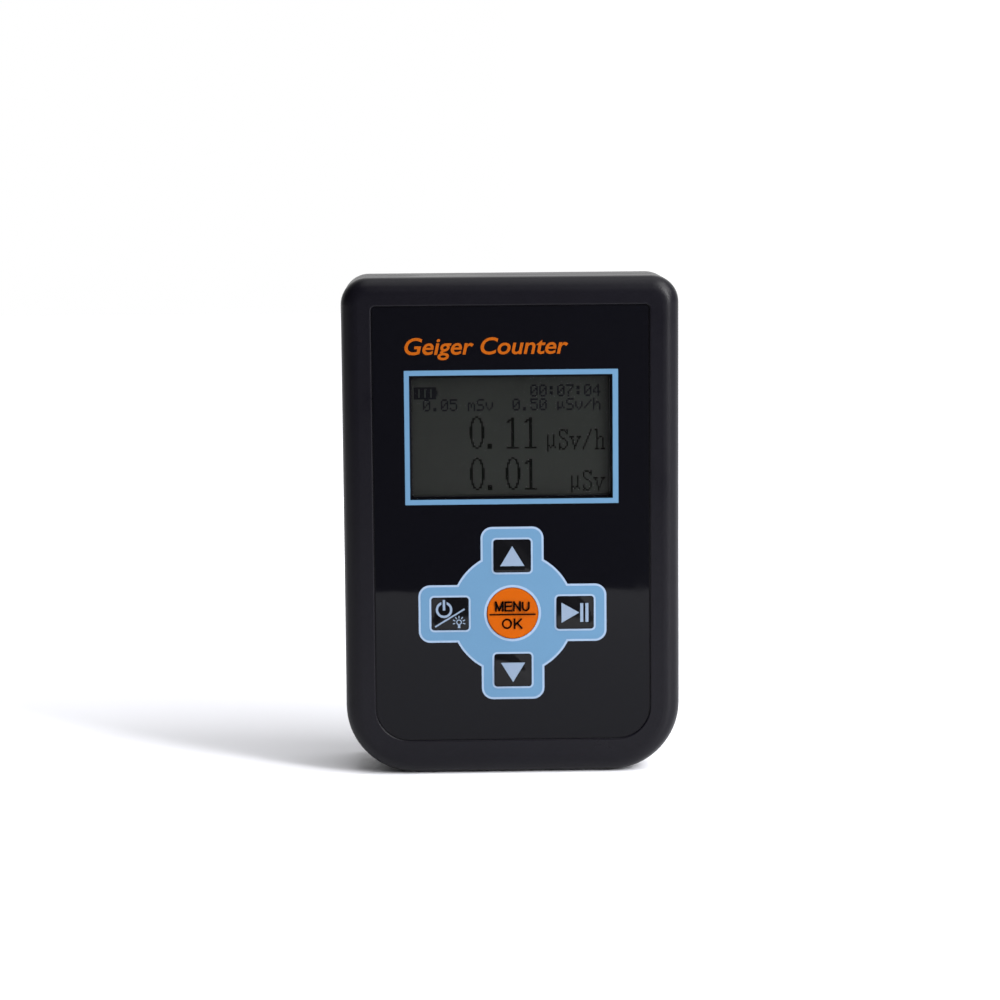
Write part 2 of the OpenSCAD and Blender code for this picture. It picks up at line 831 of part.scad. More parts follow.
module transformer_winding() {
    play = 0.05;
    w = core_w - 2 * core_t - 2 * play;
    h = core_l + 4;
    color([0.75, 0.35, 0.12]) translate([transformer_x, board_rear_y + core_t + play, above_bay_z])
        difference() {
            translate([-w / 2, 0, -h / 2]) cube([w, core_h - 2 * core_t - 2 * play, h]);
            translate([-leg_w / 2 - play, -over, -core_l / 2 - play])
                cube([leg_w + 2 * play, core_h + 2 * over, core_l + 2 * play]);
        }
}

module tube_capacitors() {
    disc_r = 3.2;
    color([0.2, 0.4, 0.7]) for (k = [0:2])
        rod_x(board_rear_y + disc_r, above_bay_z, disc_r, -9.5 + k * 3.2, -7.5 + k * 3.2);
}

module buzzer() {
    x = parts_x - 4.5;
    color([0.1, 0.1, 0.1]) difference() {
        rod_y(x, above_bay_z, 6, board_rear_y, board_rear_y + 7);
        rod_y(x, above_bay_z, 1.2, board_rear_y + 5.5, board_rear_y + 7 + over);
    }
}

// ---------------------------------------------------------------- geiger tube

module geiger_tube() {
    color([0.7, 0.75, 0.8, 0.5]) rod_x(tube_y, tube_z, tube_r, -tube_l / 2, tube_l / 2);
}

module tube_caps() {
    color([0.8, 0.8, 0.82]) for (side = [-1, 1]) {
        x = side * (tube_l + tube_cap_l) / 2;
        rod_x(tube_y, tube_z, tube_cap_r, x - tube_cap_l / 2, x + tube_cap_l / 2);
    }
}

// Metal sleeve that evens out the tube's response, with slots round its middle
module tube_filter() {
    slot_w = 2.4;
    slot_l = 7;
    color([0.62, 0.62, 0.65]) difference() {
        rod_x(tube_y, tube_z, filter_r, -filter_l / 2, filter_l / 2);
        rod_x(tube_y, tube_z, filter_r - filter_t, -filter_l / 2 - over, filter_l / 2 + over);
        for (side = [-1, 1], turn = [0:60:300])
            translate([side * 7, tube_y, tube_z]) rotate([turn, 0, 0])
                translate([-slot_l / 2, 0, -slot_w / 2]) cube([slot_l, filter_r + over, slot_w]);
    }
}

// Spring clips that hold the tube by its end caps
module tube_clips() {
    inner = tube_cap_r + clip_play;
    outer = inner + clip_wire_t;
    half = tube_clip_w / 2;
    color([0.85, 0.7, 0.35]) for (side = [-1, 1])
        translate([side * (tube_l + tube_cap_l) / 2, 0, tube_z]) difference() {
            union() {
                rod_x(tube_y, 0, outer, -half, half);
                block([-half, board_rear_y, -1.2], [half, tube_y - tube_cap_r, 1.2]);
                block([-half, board_rear_y, -outer], [half, board_rear_y + 0.4, outer]);
            }
            rod_x(tube_y, 0, inner, -half - over, half + over);
            block([-half - over, tube_y + 1.5, -outer - over],
                [half + over, tube_y + outer + over, outer + over]);
        }
}

// ---------------------------------------------------------------- batteries

// A cell on its lower end. Its stud is up when stud_up is true.
module cell(x, z0, stud_up) {
    translate([x, cell_y, z0]) {
        translate([0, 0, stud_up ? 0 : stud_h]) cylinder(r = cell_r, h = cell_l - stud_h);
        translate([0, 0, stud_up ? cell_l - stud_h : 0]) cylinder(r = stud_r, h = stud_h);
    }
}

left_cell_z = bay_top_z - plate_t - cell_l;
right_cell_z = bay_z + plate_t;

module battery_left() {
    color([0.75, 0.5, 0.2]) cell(-cell_x, left_cell_z, true);
}

module battery_right() {
    color([0.75, 0.5, 0.2]) cell(cell_x, right_cell_z, false);
}

// A contact spring that narrows from its plate at z = 0 to its tip at z = height
module contact_spring(height) {
    wire_r = 0.3;
    turns = 4;
    steps = 64;
    path = [for (i = [0:steps])
        let (t = i / steps, r = 3.4 - 1.7 * t)
        [r * cos(360 * turns * t), r * sin(360 * turns * t), wire_r + (height - 2 * wire_r) * t]];
    wire(path, wire_r, [0, 0, 1]);
}

module battery_springs() {
    height = left_cell_z - bay_z - plate_t - hair;
    color([0.82, 0.82, 0.84]) {
        translate([-cell_x, cell_y, bay_z + plate_t]) contact_spring(height);
        translate([cell_x, cell_y, bay_top_z - plate_t]) mirror([0, 0, 1]) contact_spring(height);
    }
}

// A contact plate at one end of the bay, from x0 to x1
module contact_plate(x0, x1, z) {
    half = 4;
    block([x0, cell_y - half, z], [x1, cell_y + half, z + plate_t]);
}

module battery_plates() {
    half = 4;
    color([0.82, 0.82, 0.84]) {
        contact_plate(-cell_x - half, cell_x + half, bay_top_z - plate_t);
        for (side = [-1, 1]) contact_plate(side * cell_x - half, side * cell_x + half, bay_z);
    }
}

// Section through the door, with Y along the first axis and Z along the second
module door_section() {
    r = rear_edge_r;
    difference() {
        union() {
            translate([foot_y, 0]) square([rear_y - r - foot_y, foot_t]);
            translate([rear_y - r, r]) mirror([0, 1]) quarter_disc(r);
            translate([rear_y - r, r]) square([r, door_top_z - r]);
        }
        translate([foot_y - over, foot_t])
            square([door_in_y - foot_y + over, door_top_z - foot_t + over]);
    }
}

module battery_door() {
    color([0.13, 0.13, 0.14]) difference() {
        union() {
            translate([-door_half_w, 0, 0]) rotate([90, 0, 90])
                linear_extrude(2 * door_half_w) door_section();
            block([-door_half_w - tongue_w, tongue_y0, bay_z],
                [door_half_w + tongue_w, tongue_y1, door_top_z]);
            block([-tab_half_w, tongue_y0, door_top_z - over],
                [tab_half_w, tongue_y1, door_top_z + tab_l]);
        }
        difference() {
            block([-grip_half_w, rear_y - grip_depth, grip_z - 6.5],
                [grip_half_w, rear_y + over, grip_z + 6.5]);
            for (k = [0:rib_count - 1])
                translate([0, rear_y, grip_z + (k - (rib_count - 1) / 2) * rib_pitch])
                    cube([2 * grip_half_w - 2, 2 * grip_depth, 1], center = true);
        }
    }
}

// ---------------------------------------------------------------- belt clip

module clip_bracket() {
    half_h = bracket_h / 2;
    color([0.13, 0.13, 0.14]) difference() {
        union() {
            block([-bracket_half_w, rear_y, pin_z - half_h],
                [bracket_half_w, rear_y + bracket_t, pin_z + half_h]);
            for (side = [0, 1]) mirror([side, 0, 0]) {
                block([bracket_half_w - ear_t, rear_y + bracket_t / 2, pin_z - ear_r - 1],
                    [bracket_half_w, pin_y, pin_z + ear_r + 1]);
                rod_x(pin_y, pin_z, ear_r, bracket_half_w - ear_t, bracket_half_w);
            }
        }
        rod_x(pin_y, pin_z, pin_r + hair, -bracket_half_w - over, bracket_half_w + over);
        at_clip_screws() {
            rod_y(0, 0, clip_screw_r + 0.1, rear_y - over, rear_y + bracket_t + over);
            rod_y(0, 0, clip_screw_head_r + 0.1, rear_y + bracket_t - clip_screw_head_h,
                rear_y + bracket_t + over);
        }
    }
}

// Section through the clip, with Y along the first axis and Z along the second
module clip_section() {
    tip_z = pin_z - clip_reach;
    bend_z = tip_z + 12.5;
    union() {
        translate([clip_in_y, bend_z]) square([clip_t, pin_z + clip_tab - bend_z]);
        polygon([
            [clip_in_y, bend_z], [clip_out_y, bend_z],
            [hook_y + clip_t + 0.7, tip_z + 5.6], [hook_y + clip_t + 0.5, tip_z + 4.4],
            [clip_in_y - 0.7, tip_z + 0.8], [clip_in_y - 2, tip_z],
            [hook_y, tip_z + 4.2], [hook_y, tip_z + 5.2]]);
    }
}

module belt_clip() {
    half = clip_w / 2;
    slot_half = half - hub_l + 0.1;
    color([0.13, 0.13, 0.14]) difference() {
        union() {
            translate([-half, 0, 0]) rotate([90, 0, 90]) linear_extrude(clip_w) clip_section();
            for (side = [0, 1]) mirror([side, 0, 0])
                rod_x(pin_y, pin_z, hub_r, half - hub_l, half);
            for (k = [0:2])
                block([-half + 2, clip_out_y - over / 2, pin_z + clip_tab - 1.6 - 1.8 * k],
                    [half - 2, clip_out_y + 0.4, pin_z + clip_tab - 0.8 - 1.8 * k]);
        }
        rod_x(pin_y, pin_z, pin_r + pin_play, -half - over, half + over);
        block([-slot_half, clip_in_y - over, pin_z - hub_r - 0.5],
            [slot_half, clip_out_y + over, pin_z + hub_r + 0.5]);
    }
}

module clip_pin() {
    head_l = 0.4;
    color([0.75, 0.75, 0.78]) {
        rod_x(pin_y, pin_z, pin_r, -bracket_half_w, bracket_half_w);
        for (side = [0, 1]) mirror([side, 0, 0])
            rod_x(pin_y, pin_z, pin_r + 0.5, bracket_half_w, bracket_half_w + head_l);
    }
}

module clip_spring() {
    rest_y = rear_y + bracket_t + coil_wire_r + hair;
    lever_y = clip_in_y - coil_wire_r - hair;
    steps = 16 * coil_turns;
    leg_top = pin_z + clip_tab - 1.5;
    coil = [for (i = [0:steps])
        let (t = i / steps, a = 180 + 360 * coil_turns * t)
        [-coil_half_l + 2 * coil_half_l * t, pin_y + coil_r * cos(a), pin_z + coil_r * sin(a)]];
    path = concat(
        [[-coil_half_l, rest_y, leg_top], [-coil_half_l, rest_y, pin_z + 3]],
        coil,
        [[coil_half_l, lever_y, pin_z + 2.5], [coil_half_l, lever_y, leg_top]]);
    color([0.8, 0.8, 0.82]) wire(path, coil_wire_r, [1, 0, 0], 6);
}

module clip_screws() {
    seat_y = rear_y + bracket_t - clip_screw_head_h;
    color([0.6, 0.6, 0.62]) at_clip_screws() difference() {
        union() {
            rod_y(0, 0, clip_screw_r, seat_y - clip_screw_l, seat_y + clip_screw_head_h / 2);
            rod_y(0, 0, clip_screw_head_r, seat_y, seat_y + clip_screw_head_h);
        }
        cross_slot(clip_screw_head_r, seat_y + clip_screw_head_h - 0.6, seat_y + 2 * clip_screw_head_h);
    }
}

// ---------------------------------------------------------------- what is drawn

front_housing();
rear_housing();
housing_gasket();
housing_screws();
overlay_film();
display_window();
key_up();
key_down();
key_power();
key_play();
key_menu();
plunger_up();
plunger_down();
plunger_power();
plunger_play();
plunger_menu();
switch_bodies();
switch_covers();
lcd_glass();
lcd_backlight();
lcd_frame();
lcd_ribbon();
ribbon_connector();
main_board();
board_screws();
processor();
small_chips();
chip_leads();
chip_resistors();
crystal();
smoothing_capacitors();
transformer_core();
transformer_winding();
tube_capacitors();
geiger_tube();
tube_caps();
tube_filter();
tube_clips();
buzzer();
battery_left();
battery_right();
battery_springs();
battery_plates();
battery_door();
clip_bracket();
belt_clip();
clip_pin();
clip_spring();
clip_screws();
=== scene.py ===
"""Finishes a handheld geiger counter: prints, keys, display and materials round its fixed frame."""

import json
import math

import bpy
from mathutils import Matrix, Vector

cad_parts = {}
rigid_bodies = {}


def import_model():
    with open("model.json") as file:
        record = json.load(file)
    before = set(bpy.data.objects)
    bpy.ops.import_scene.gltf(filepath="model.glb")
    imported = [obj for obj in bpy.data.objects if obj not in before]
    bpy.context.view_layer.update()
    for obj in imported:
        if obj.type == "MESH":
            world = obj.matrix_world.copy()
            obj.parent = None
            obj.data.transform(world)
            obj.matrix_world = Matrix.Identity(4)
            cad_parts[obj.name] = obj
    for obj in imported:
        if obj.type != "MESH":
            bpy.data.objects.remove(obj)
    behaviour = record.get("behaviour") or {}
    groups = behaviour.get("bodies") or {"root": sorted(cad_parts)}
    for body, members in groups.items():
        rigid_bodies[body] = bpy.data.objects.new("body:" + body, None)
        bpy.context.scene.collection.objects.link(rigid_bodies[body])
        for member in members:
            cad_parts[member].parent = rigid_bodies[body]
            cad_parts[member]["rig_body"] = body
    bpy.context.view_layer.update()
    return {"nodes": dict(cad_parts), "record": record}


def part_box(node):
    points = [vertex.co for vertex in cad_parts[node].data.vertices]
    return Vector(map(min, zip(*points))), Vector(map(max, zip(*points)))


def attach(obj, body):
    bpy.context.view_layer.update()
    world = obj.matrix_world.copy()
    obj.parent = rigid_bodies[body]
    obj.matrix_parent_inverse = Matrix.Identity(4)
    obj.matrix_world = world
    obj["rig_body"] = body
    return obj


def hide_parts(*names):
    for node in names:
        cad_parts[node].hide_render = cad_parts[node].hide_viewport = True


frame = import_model()

bl_info = {
    "name": "Handheld Geiger Counter",
    "version": (1, 0, 0),
    "blender": (4, 5, 0),
    "location": "View3D > Sidebar > Geiger",
    "description": "Makes the prints, keys, display and finishes of a handheld geiger counter",
    "category": "Object",
}

MM = 0.001
QUARTER = math.pi / 2


# ---------------------------------------------------------------- places from the frame

class Place:
    """One CAD node's box, in millimetres: its centre, its size and its faces."""

    def __init__(self, node):
        low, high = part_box(node)
        self.low, self.high = low / MM, high / MM
        self.centre = (self.low + self.high) / 2
        self.size = self.high - self.low

    @property
    def front(self):
        return self.low.y


FILM = Place("overlay_film")
WINDOW = Place("display_window")
GLASS = Place("lcd_glass")
HOUSING = Place("front_housing")
KEY_NAMES = ("up", "down", "power", "play", "menu")
KEYS = {name: Place("key_" + name) for name in KEY_NAMES}
FRONT = FILM.front

# Prints and display, in millimetres
INK = 0.02
WINDOW_OPENING = (42.0, 25.7)
BORDER_GAP = 0.12
BORDER_SHIFT = 0.06
BORDER_CORNER = 0.12
TITLE_LEFT, TITLE_RIGHT = -21.9, 11.9
TITLE_FOOT, TITLE_TOP = 87.0, 91.65
TITLE_BOLD = 0.015
TITLE_SLANT = 0.2
SMALL_ROWS_RISE = 5.2

# The printed cross and the openings in its two inks: round each key, and round the menu key
MIDDLE = KEYS["menu"].centre
CROSS_ARM_W = 13.1
CROSS_ARM_H = 12.1
CROSS_DISC_R = 13.0
CROSS_CORNER = 2.4
PALE_GAPS = (0.12, 0.13)
BLUE_GAPS = (0.5, 0.65)

# Keys, in millimetres
PAD_FLANGE = 0.8
FLANGE_DEPTH = 0.25
KEY_CORNER = 0.5
DOME_RISE = 0.27
DOME_REACH = 8.0
DOME_DOWN = 1.5
SYMBOL_DEPTH = 0.1


# ---------------------------------------------------------------- shader maths

class Sock:
    """A node's output that takes part in sums, so that shader maths reads as ordinary maths."""

    def __init__(self, shader, socket):
        self.shader = shader
        self.socket = socket

    def maths(self, operation, *values):
        inputs = dict(enumerate(values))
        return self.shader.node("ShaderNodeMath", {"operation": operation}, inputs)

    def __add__(self, other):
        return self.maths("ADD", self, other)

    def __sub__(self, other):
        return self.maths("SUBTRACT", self, other)

    def __rsub__(self, other):
        return self.maths("SUBTRACT", other, self)

    def __mul__(self, other):
        return self.maths("MULTIPLY", self, other)

    def __truediv__(self, other):
        return self.maths("DIVIDE", self, other)

    def __gt__(self, other):
        return self.maths("GREATER_THAN", self, other)

    def __lt__(self, other):
        return self.maths("LESS_THAN", self, other)

    __radd__ = __add__
    __rmul__ = __mul__

    def wave(self):
        return self.maths("SINE", self)

    def size(self):
        return self.maths("ABSOLUTE", self)

    def fraction(self):
        return self.maths("FRACT", self)

    def most(self, other):
        return self.maths("MAXIMUM", self, other)

    def ramp(self, low, high, start=0.0, end=1.0):
        """Goes smoothly from start to end as the value goes from low to high."""
        settings = {"interpolation_type": "SMOOTHSTEP"}
        return self.shader.node("ShaderNodeMapRange", settings, {0: self, 1: low, 2: high, 3: start, 4: end})


class Shader:
    """A material being made. Its node method adds any node that a sum doesn't."""

    def __init__(self, name, colour, roughness=0.5, metallic=0.0, **constants):
        self.material = bpy.data.materials.new(name)
        self.material.use_nodes = True
        self.tree = self.material.node_tree
        self.surface = self.tree.nodes["Principled BSDF"]
        self.material.diffuse_color = (*colour, 1)
        self.set("Base Color", (*colour, 1))
        self.set("Roughness", roughness)
        self.set("Metallic", metallic)
        for socket, value in constants.items():
            self.set(socket.replace("_", " "), value)

    def set(self, socket, value):
        self.feed(self.surface.inputs[socket], value)

    def feed(self, target, value):
        if isinstance(value, Sock):
            self.tree.links.new(value.socket, target)
        else:
            target.default_value = value

    def node(self, kind, settings=None, values=None, output=0):
        made = self.tree.nodes.new(kind)
        for key, value in (settings or {}).items():
            setattr(made, key, value)
        for key, value in (values or {}).items():
            self.feed(made.inputs[key], value)
        return Sock(self, made.outputs[output])

    def at(self):
        """The point on the piece, in millimetres."""
        point = self.node("ShaderNodeTexCoord", output="Object")
        return self.node("ShaderNodeVectorMath", {"operation": "SCALE"}, {0: point, "Scale": 1 / MM})

    def axes(self):
        at = self.at()
        return [self.node("ShaderNodeSeparateXYZ", None, {0: at}, axis) for axis in range(3)]

    def noise(self, size, detail=2.0, roughness=0.5, stretch=None):
        """Smooth noise whose blotches are about size millimetres across."""
        at = self.at()
        if stretch:
            at = self.node("ShaderNodeVectorMath", {"operation": "MULTIPLY"}, {0: at, 1: stretch})
        values = {"Vector": at, "Scale": 1 / size, "Detail": detail, "Roughness": roughness}
        return self.node("ShaderNodeTexNoise", None, values)

    def cells(self, size):
        """Distance to the nearest of points about size millimetres apart."""
        return self.node("ShaderNodeTexVoronoi", None, {"Vector": self.at(), "Scale": 1 / size})

    def mix(self, share, colour_a, colour_b):
        values = {0: share, 6: colour_a, 7: colour_b}
        return self.node("ShaderNodeMix", {"data_type": "RGBA"}, values, 2)

    def bump(self, height, depth, strength=1.0):
        """Raises the surface by up to depth millimetres where height is 1."""
        values = {"Height": height, "Distance": depth * MM, "Strength": strength}
        self.set("Normal", self.node("ShaderNodeBump", None, values))


def tone(colour, factor):
    """A colour made lighter or darker, with full alpha."""
    return (*[min(1, channel * factor) for channel in colour[:3]], 1)


# ---------------------------------------------------------------- finishes

def moulded(name, colour, grain=0.28, depth=0.02, roughness=0.5, level=0.5):
    """Moulded plastic with a fine sparked texture and slight handling marks."""
    shader = Shader(name, colour, roughness, Specular_IOR_Level=level)
    fine = shader.noise(grain, 3, 0.6)
    pits = shader.cells(grain * 1.6)
    rubbed = shader.noise(14, 3, 0.55).ramp(0.5, 0.75)
    blotch = shader.noise(5, 4, 0.6)
    shader.set("Base Color", shader.mix(blotch * 0.5 + fine * 0.4, tone(colour, 0.8), tone(colour, 1.25)))
    shader.set("Roughness", roughness + 0.1 * fine - 0.08 * rubbed)
    shader.bump(fine * 0.7 + pits * 0.5, depth)
    return shader.material


def glossy_print(name, colour, roughness=0.1, level=0.35, grain=0.02):
    """Ink under clear film: smooth, a little wavy, with a trace of ink grain."""
    shader = Shader(name, colour, roughness, Specular_IOR_Level=level)
    ink = shader.noise(0.18, 2, 0.6)
    wave = shader.noise(9, 1, 0.4)
    wiped = shader.noise(16, 4, 0.65, (1, 1, 0.4)).ramp(0.52, 0.8)
    shader.set("Base Color", shader.mix(ink, tone(colour, 1 - 3 * grain), tone(colour, 1 + 3 * grain)))
    shader.set("Roughness", roughness + 0.05 * wiped)
    shader.bump(wave + ink * 0.004, 0.012)
    return shader.material


def dark_ink(name, colour, faint):
    """Black ink and dark display dots; the display's two small upper rows are fainter."""
    shader = Shader(name, colour, 0.35, Specular_IOR_Level=0.03)
    _, _, z = shader.axes()
    grain = shader.noise(0.3, 2, 0.5)
    ink = shader.mix(grain, tone(colour, 0.9), tone(colour, 1.1))
    shader.set("Base Color", shader.mix(z > GLASS.centre.z + SMALL_ROWS_RISE, ink, (*faint, 1)))
    shader.set("Roughness", 0.32 + 0.06 * grain)
    return shader.material


def polished(name, colour, roughness=0.3, metallic=1.0, lay=(1, 1, 8), grain=0.4):
    """Metal with fine drawn lines along one axis and duller patches."""
    shader = Shader(name, colour, roughness, metallic)
    lines = shader.noise(grain, 3, 0.6, lay)
    dull = shader.noise(4, 3, 0.6).ramp(0.4, 0.75)
    shader.set("Base Color", shader.mix(dull, tone(colour, 1.08), tone(colour, 0.8)))
    shader.set("Roughness", roughness + 0.12 * lines + 0.1 * dull)
    shader.bump(lines, 0.004)
    return shader.material


def circuit_board(name, colour):
    """Green solder mask over copper tracks, with darker flecks."""
    shader = Shader(name, colour, 0.35, Coat_Weight=0.3)
    x, _, z = shader.axes()
    lanes = (x / 1.6).fraction() - 0.5
    cross = (z / 1.9).fraction() - 0.5
    field = shader.noise(7, 1, 0.4)
    along = (lanes.size() < 0.16) * (field > 0.5)
    across = (cross.size() < 0.16) * (field < 0.46)
    track = along.most(across)
    fleck = shader.noise(0.6, 2, 0.5)
    mask = shader.mix(track, tone(colour, 0.75), tone(colour, 2.1))
    shader.set("Base Color", shader.mix(fleck * 0.3, mask, tone(colour, 0.6)))
    shader.set("Roughness", 0.32 + 0.12 * fleck)
    shader.bump(track + fleck * 0.1, 0.03)
    return shader.material


def smoky(name, colour, alpha, roughness=0.04, level=0.5):
    """Clear plastic or glass seen as a thin tinted skin with faint wipe marks."""
    shader = Shader(name, colour, roughness, Specular_IOR_Level=level)
    wiped = shader.noise(12, 4, 0.6, (1, 1, 0.5)).ramp(0.45, 0.8)
    shader.set("Roughness", roughness + 0.05 * wiped)
    shader.set("Alpha", alpha + 0.04 * wiped)
    return shader.material


def display_cell(name, colour):
    """The display's liquid crystal cell: greenish grey, with painted shade that darkens it towards its top
    and towards its left and right edges.
    """
    shader = Shader(name, colour, 0.35, Specular_IOR_Level=0.2)
    x, _, z = shader.axes()
    across = ((x - GLASS.centre.x) / (GLASS.size.x / 2)).size()
    rise = (z - GLASS.low.z) / GLASS.size.z
    # painted shade: the cell is darkened near its left and right edges, where the window walls shade it
    painted_rim_shade = across.ramp(0.8, 0.98)
    cloud = shader.noise(11, 3, 0.6)
    # painted shade: the cell grows darker towards its top
    painted_top_shade = shader.mix(rise.ramp(0.1, 0.95), tone(colour, 0.96), tone(colour, 0.86))
    mottled = shader.mix(cloud * 0.35, painted_top_shade, tone(colour, 1.25))
    shader.set("Base Color", shader.mix(painted_rim_shade, mottled, tone(colour, 0.6)))
    shader.set("Roughness", 0.34 + 0.1 * cloud)
    return shader.material


def wrapped_cell(name, colour):
    """A cell's printed sleeve: a dark lower band, a pale ring and a metallic upper band."""
    shader = Shader(name, colour, 0.3, Coat_Weight=0.4)
    left = Place("battery_left")
    _, _, z = shader.axes()
    rise = (z - left.low.z) / left.size.z
    scuff = shader.noise(1.2, 4, 0.7, (1, 1, 0.3))
    band = shader.mix(rise > 0.62, (0.02, 0.02, 0.022, 1), tone(colour, 1.0))
    ring = (rise - 0.62).size() < 0.012
    ringed = shader.mix(ring, band, (0.7, 0.7, 0.66, 1))
    shader.set("Base Color", shader.mix(scuff.ramp(0.55, 0.8) * 0.25, ringed, tone(colour, 1.5)))
    shader.set("Roughness", 0.25 + 0.2 * scuff)
    shader.bump(scuff, 0.01)
    return shader.material


def wound_wire(name, colour):
    """Enamelled wire wound in close turns under clear tape."""
    shader = Shader(name, colour, 0.3, 0.6, Coat_Weight=0.5)
    _, y, _ = shader.axes()
    turn = (y * (math.tau / 0.35)).wave()
    tint = shader.noise(2, 2, 0.5)
    shader.set("Base Color", shader.mix(tint, tone(colour, 0.7), tone(colour, 1.3)))
    shader.set("Roughness", 0.28 + 0.1 * tint)
    shader.bump(turn * 0.5 + 0.5, 0.08)
    return shader.material


MAKERS = {
    "housing_plastic": lambda: moulded("housing plastic", (0.0033, 0.003, 0.005), roughness=0.3, level=0.125),
    "seal_rubber": lambda: moulded("seal rubber", (0.05, 0.05, 0.05), 0.5, 0.015, 0.75),
    "screw_steel": lambda: polished("screw steel", (0.42, 0.42, 0.44), 0.32, 1.0, (1, 8, 1)),
    "overlay_film": lambda: glossy_print("overlay black", (0.0026, 0.0026, 0.0038), 0.03, 0.09),
    "window_clear": lambda: smoky("window", (0.006, 0.006, 0.006), 0.04, 0.04, 0.2),
    "key_black": lambda: glossy_print("key black", (0.0034, 0.0034, 0.0042), 0.05, 0.13),
    "key_orange": lambda: glossy_print("key orange", (0.34, 0.064, 0.0014), 0.3, 0.05),
    "print_blue": lambda: glossy_print("print blue", (0.083, 0.172, 0.278), 0.3, 0.1),
    "print_pale": lambda: glossy_print("print pale", (0.215, 0.285, 0.395), 0.3, 0.1),
    "symbol_ink": lambda: glossy_print("symbol ink", (0.165, 0.215, 0.295), 0.3, 0.1),
    "print_orange": lambda: glossy_print("print orange", (0.27, 0.06, 0.003), 0.3, 0.1),
    "display_dots": lambda: dark_ink("display dots", (0.0004, 0.0005, 0.0004), (0.0034, 0.0036, 0.0052)),
    "plunger_plastic": lambda: moulded("natural nylon", (0.62, 0.6, 0.52), 0.8, 0.01, 0.45),
    "black_plastic": lambda: moulded("component black", (0.02, 0.02, 0.021), 0.4, 0.01, 0.4),
    "tin_plate": lambda: polished("tin plate", (0.62, 0.62, 0.63), 0.25),
    "display_glass": lambda: display_cell("display cell", (0.0095, 0.0107, 0.0094)),
    "backlight_plastic": lambda: moulded("light guide", (0.72, 0.73, 0.68), 2, 0.01, 0.3),
    "ribbon_film": lambda: glossy_print("amber ribbon", (0.4, 0.15, 0.03), 0.25, 0.5),
    "board_green": lambda: circuit_board("circuit board", (0.008, 0.075, 0.032)),
    "capacitor_can": lambda: polished("drawn can", (0.66, 0.66, 0.68), 0.3, 1.0, (1, 6, 1)),
    "core_ferrite": lambda: moulded("ferrite", (0.045, 0.045, 0.05), 0.35, 0.02, 0.55),
    "winding_copper": lambda: wound_wire("wound wire", (0.45, 0.16, 0.05)),
    "capacitor_blue": lambda: moulded("dipped blue", (0.02, 0.09, 0.3), 1.2, 0.03, 0.3),
    "tube_glass": lambda: smoky("tube glass", (0.09, 0.1, 0.12), 0.7, 0.08),
    "clip_brass": lambda: polished("plated brass", (0.6, 0.43, 0.17), 0.3),
    "cell_wrap": lambda: wrapped_cell("cell sleeve", (0.45, 0.27, 0.09)),
}
FINISHES = {}


def finish_for(slot):
    """The material of a slot, made the first time that it is asked for."""
    if slot not in FINISHES:
        FINISHES[slot] = MAKERS[slot]()
    return FINISHES[slot]


# ---------------------------------------------------------------- shaping helpers

def deselect():
    active = bpy.context.object
    if active and active.mode != "OBJECT":
        bpy.ops.object.mode_set(mode="OBJECT")
    bpy.ops.object.select_all(action="DESELECT")


def bake_place():
    """Moves the active object's place into its mesh."""
    bpy.ops.object.transform_apply(location=True, rotation=True, scale=True)
    return bpy.context.object


def pick(piece, kind, test):
    """Selects the vertices, edges or faces that pass a test on their middle, in edit mode."""
    deselect()
    piece.select_set(True)
    bpy.context.view_layer.objects.active = piece
    bpy.ops.object.mode_set(mode="EDIT")
    bpy.ops.mesh.select_mode(type=kind)
    bpy.ops.mesh.select_all(action="DESELECT")
    bpy.ops.object.mode_set(mode="OBJECT")
    mesh = piece.data
    points = mesh.vertices
    if kind == "VERT":
        for point in points:
            point.select = bool(test(point.co / MM, point))
    elif kind == "EDGE":
        for edge in mesh.edges:
            ends = [points[i].co / MM for i in edge.vertices]
            edge.select = bool(test((ends[0] + ends[1]) / 2, ends[1] - ends[0]))
    else:
        for face in mesh.polygons:
            face.select = bool(test(face.center / MM, face))
    bpy.ops.object.mode_set(mode="EDIT")


def settle(piece, name, slot, body="housing", angle=35, stands_for=(), finish=None):
    """Names a finished piece, gives it its finish and lets it ride on a body."""
    deselect()
    piece.select_set(True)
    bpy.context.view_layer.objects.active = piece
    bpy.ops.object.shade_smooth_by_angle(angle=math.radians(angle))
    piece.name = name
    piece.data.name = name
    piece.data.materials.clear()
    piece.data.materials.append(finish_for(finish or slot))
    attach(piece, body)
    if stands_for:
        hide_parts(*stands_for)
    return piece


def new_box(low, high):
    """A box between two corners, in millimetres."""
    deselect()
    low, high = Vector(low), Vector(high)
    bpy.ops.mesh.primitive_cube_add(size=1, location=(low + high) / 2 * MM, scale=(high - low) * MM)
    return bake_place()


def new_disc(x, z, radius, back, front, sides=96):
    """A disc that faces the viewer, from its back to its front."""
    deselect()
    place = Vector((x, (back + front) / 2, z)) * MM
    bpy.ops.mesh.primitive_cylinder_add(vertices=sides, radius=radius * MM, depth=abs(back - front) * MM,
                                        location=place, rotation=(QUARTER, 0, 0))
    return bake_place()


def along_depth(_, way):
    return abs(way.x) < 1e-4 and abs(way.z) < 1e-4


def round_corners(piece, radius, steps=8):
    """Rounds a box's four upright corners, seen from the front."""
    pick(piece, "EDGE", along_depth)
    bpy.ops.mesh.bevel(offset=radius * MM, segments=steps, affect="EDGES")
    deselect()


def round_front(piece, radius, steps=4):
    """Rounds the edge of a piece's front face."""
    front = min(v.co.y for v in piece.data.vertices) / MM
    pick(piece, "FACE", lambda at, face: face.normal.y < -0.9 and at.y < front + 1e-3)
    bpy.ops.mesh.region_to_loop()
    bpy.ops.mesh.bevel(offset=radius * MM, segments=steps, affect="EDGES")
    deselect()


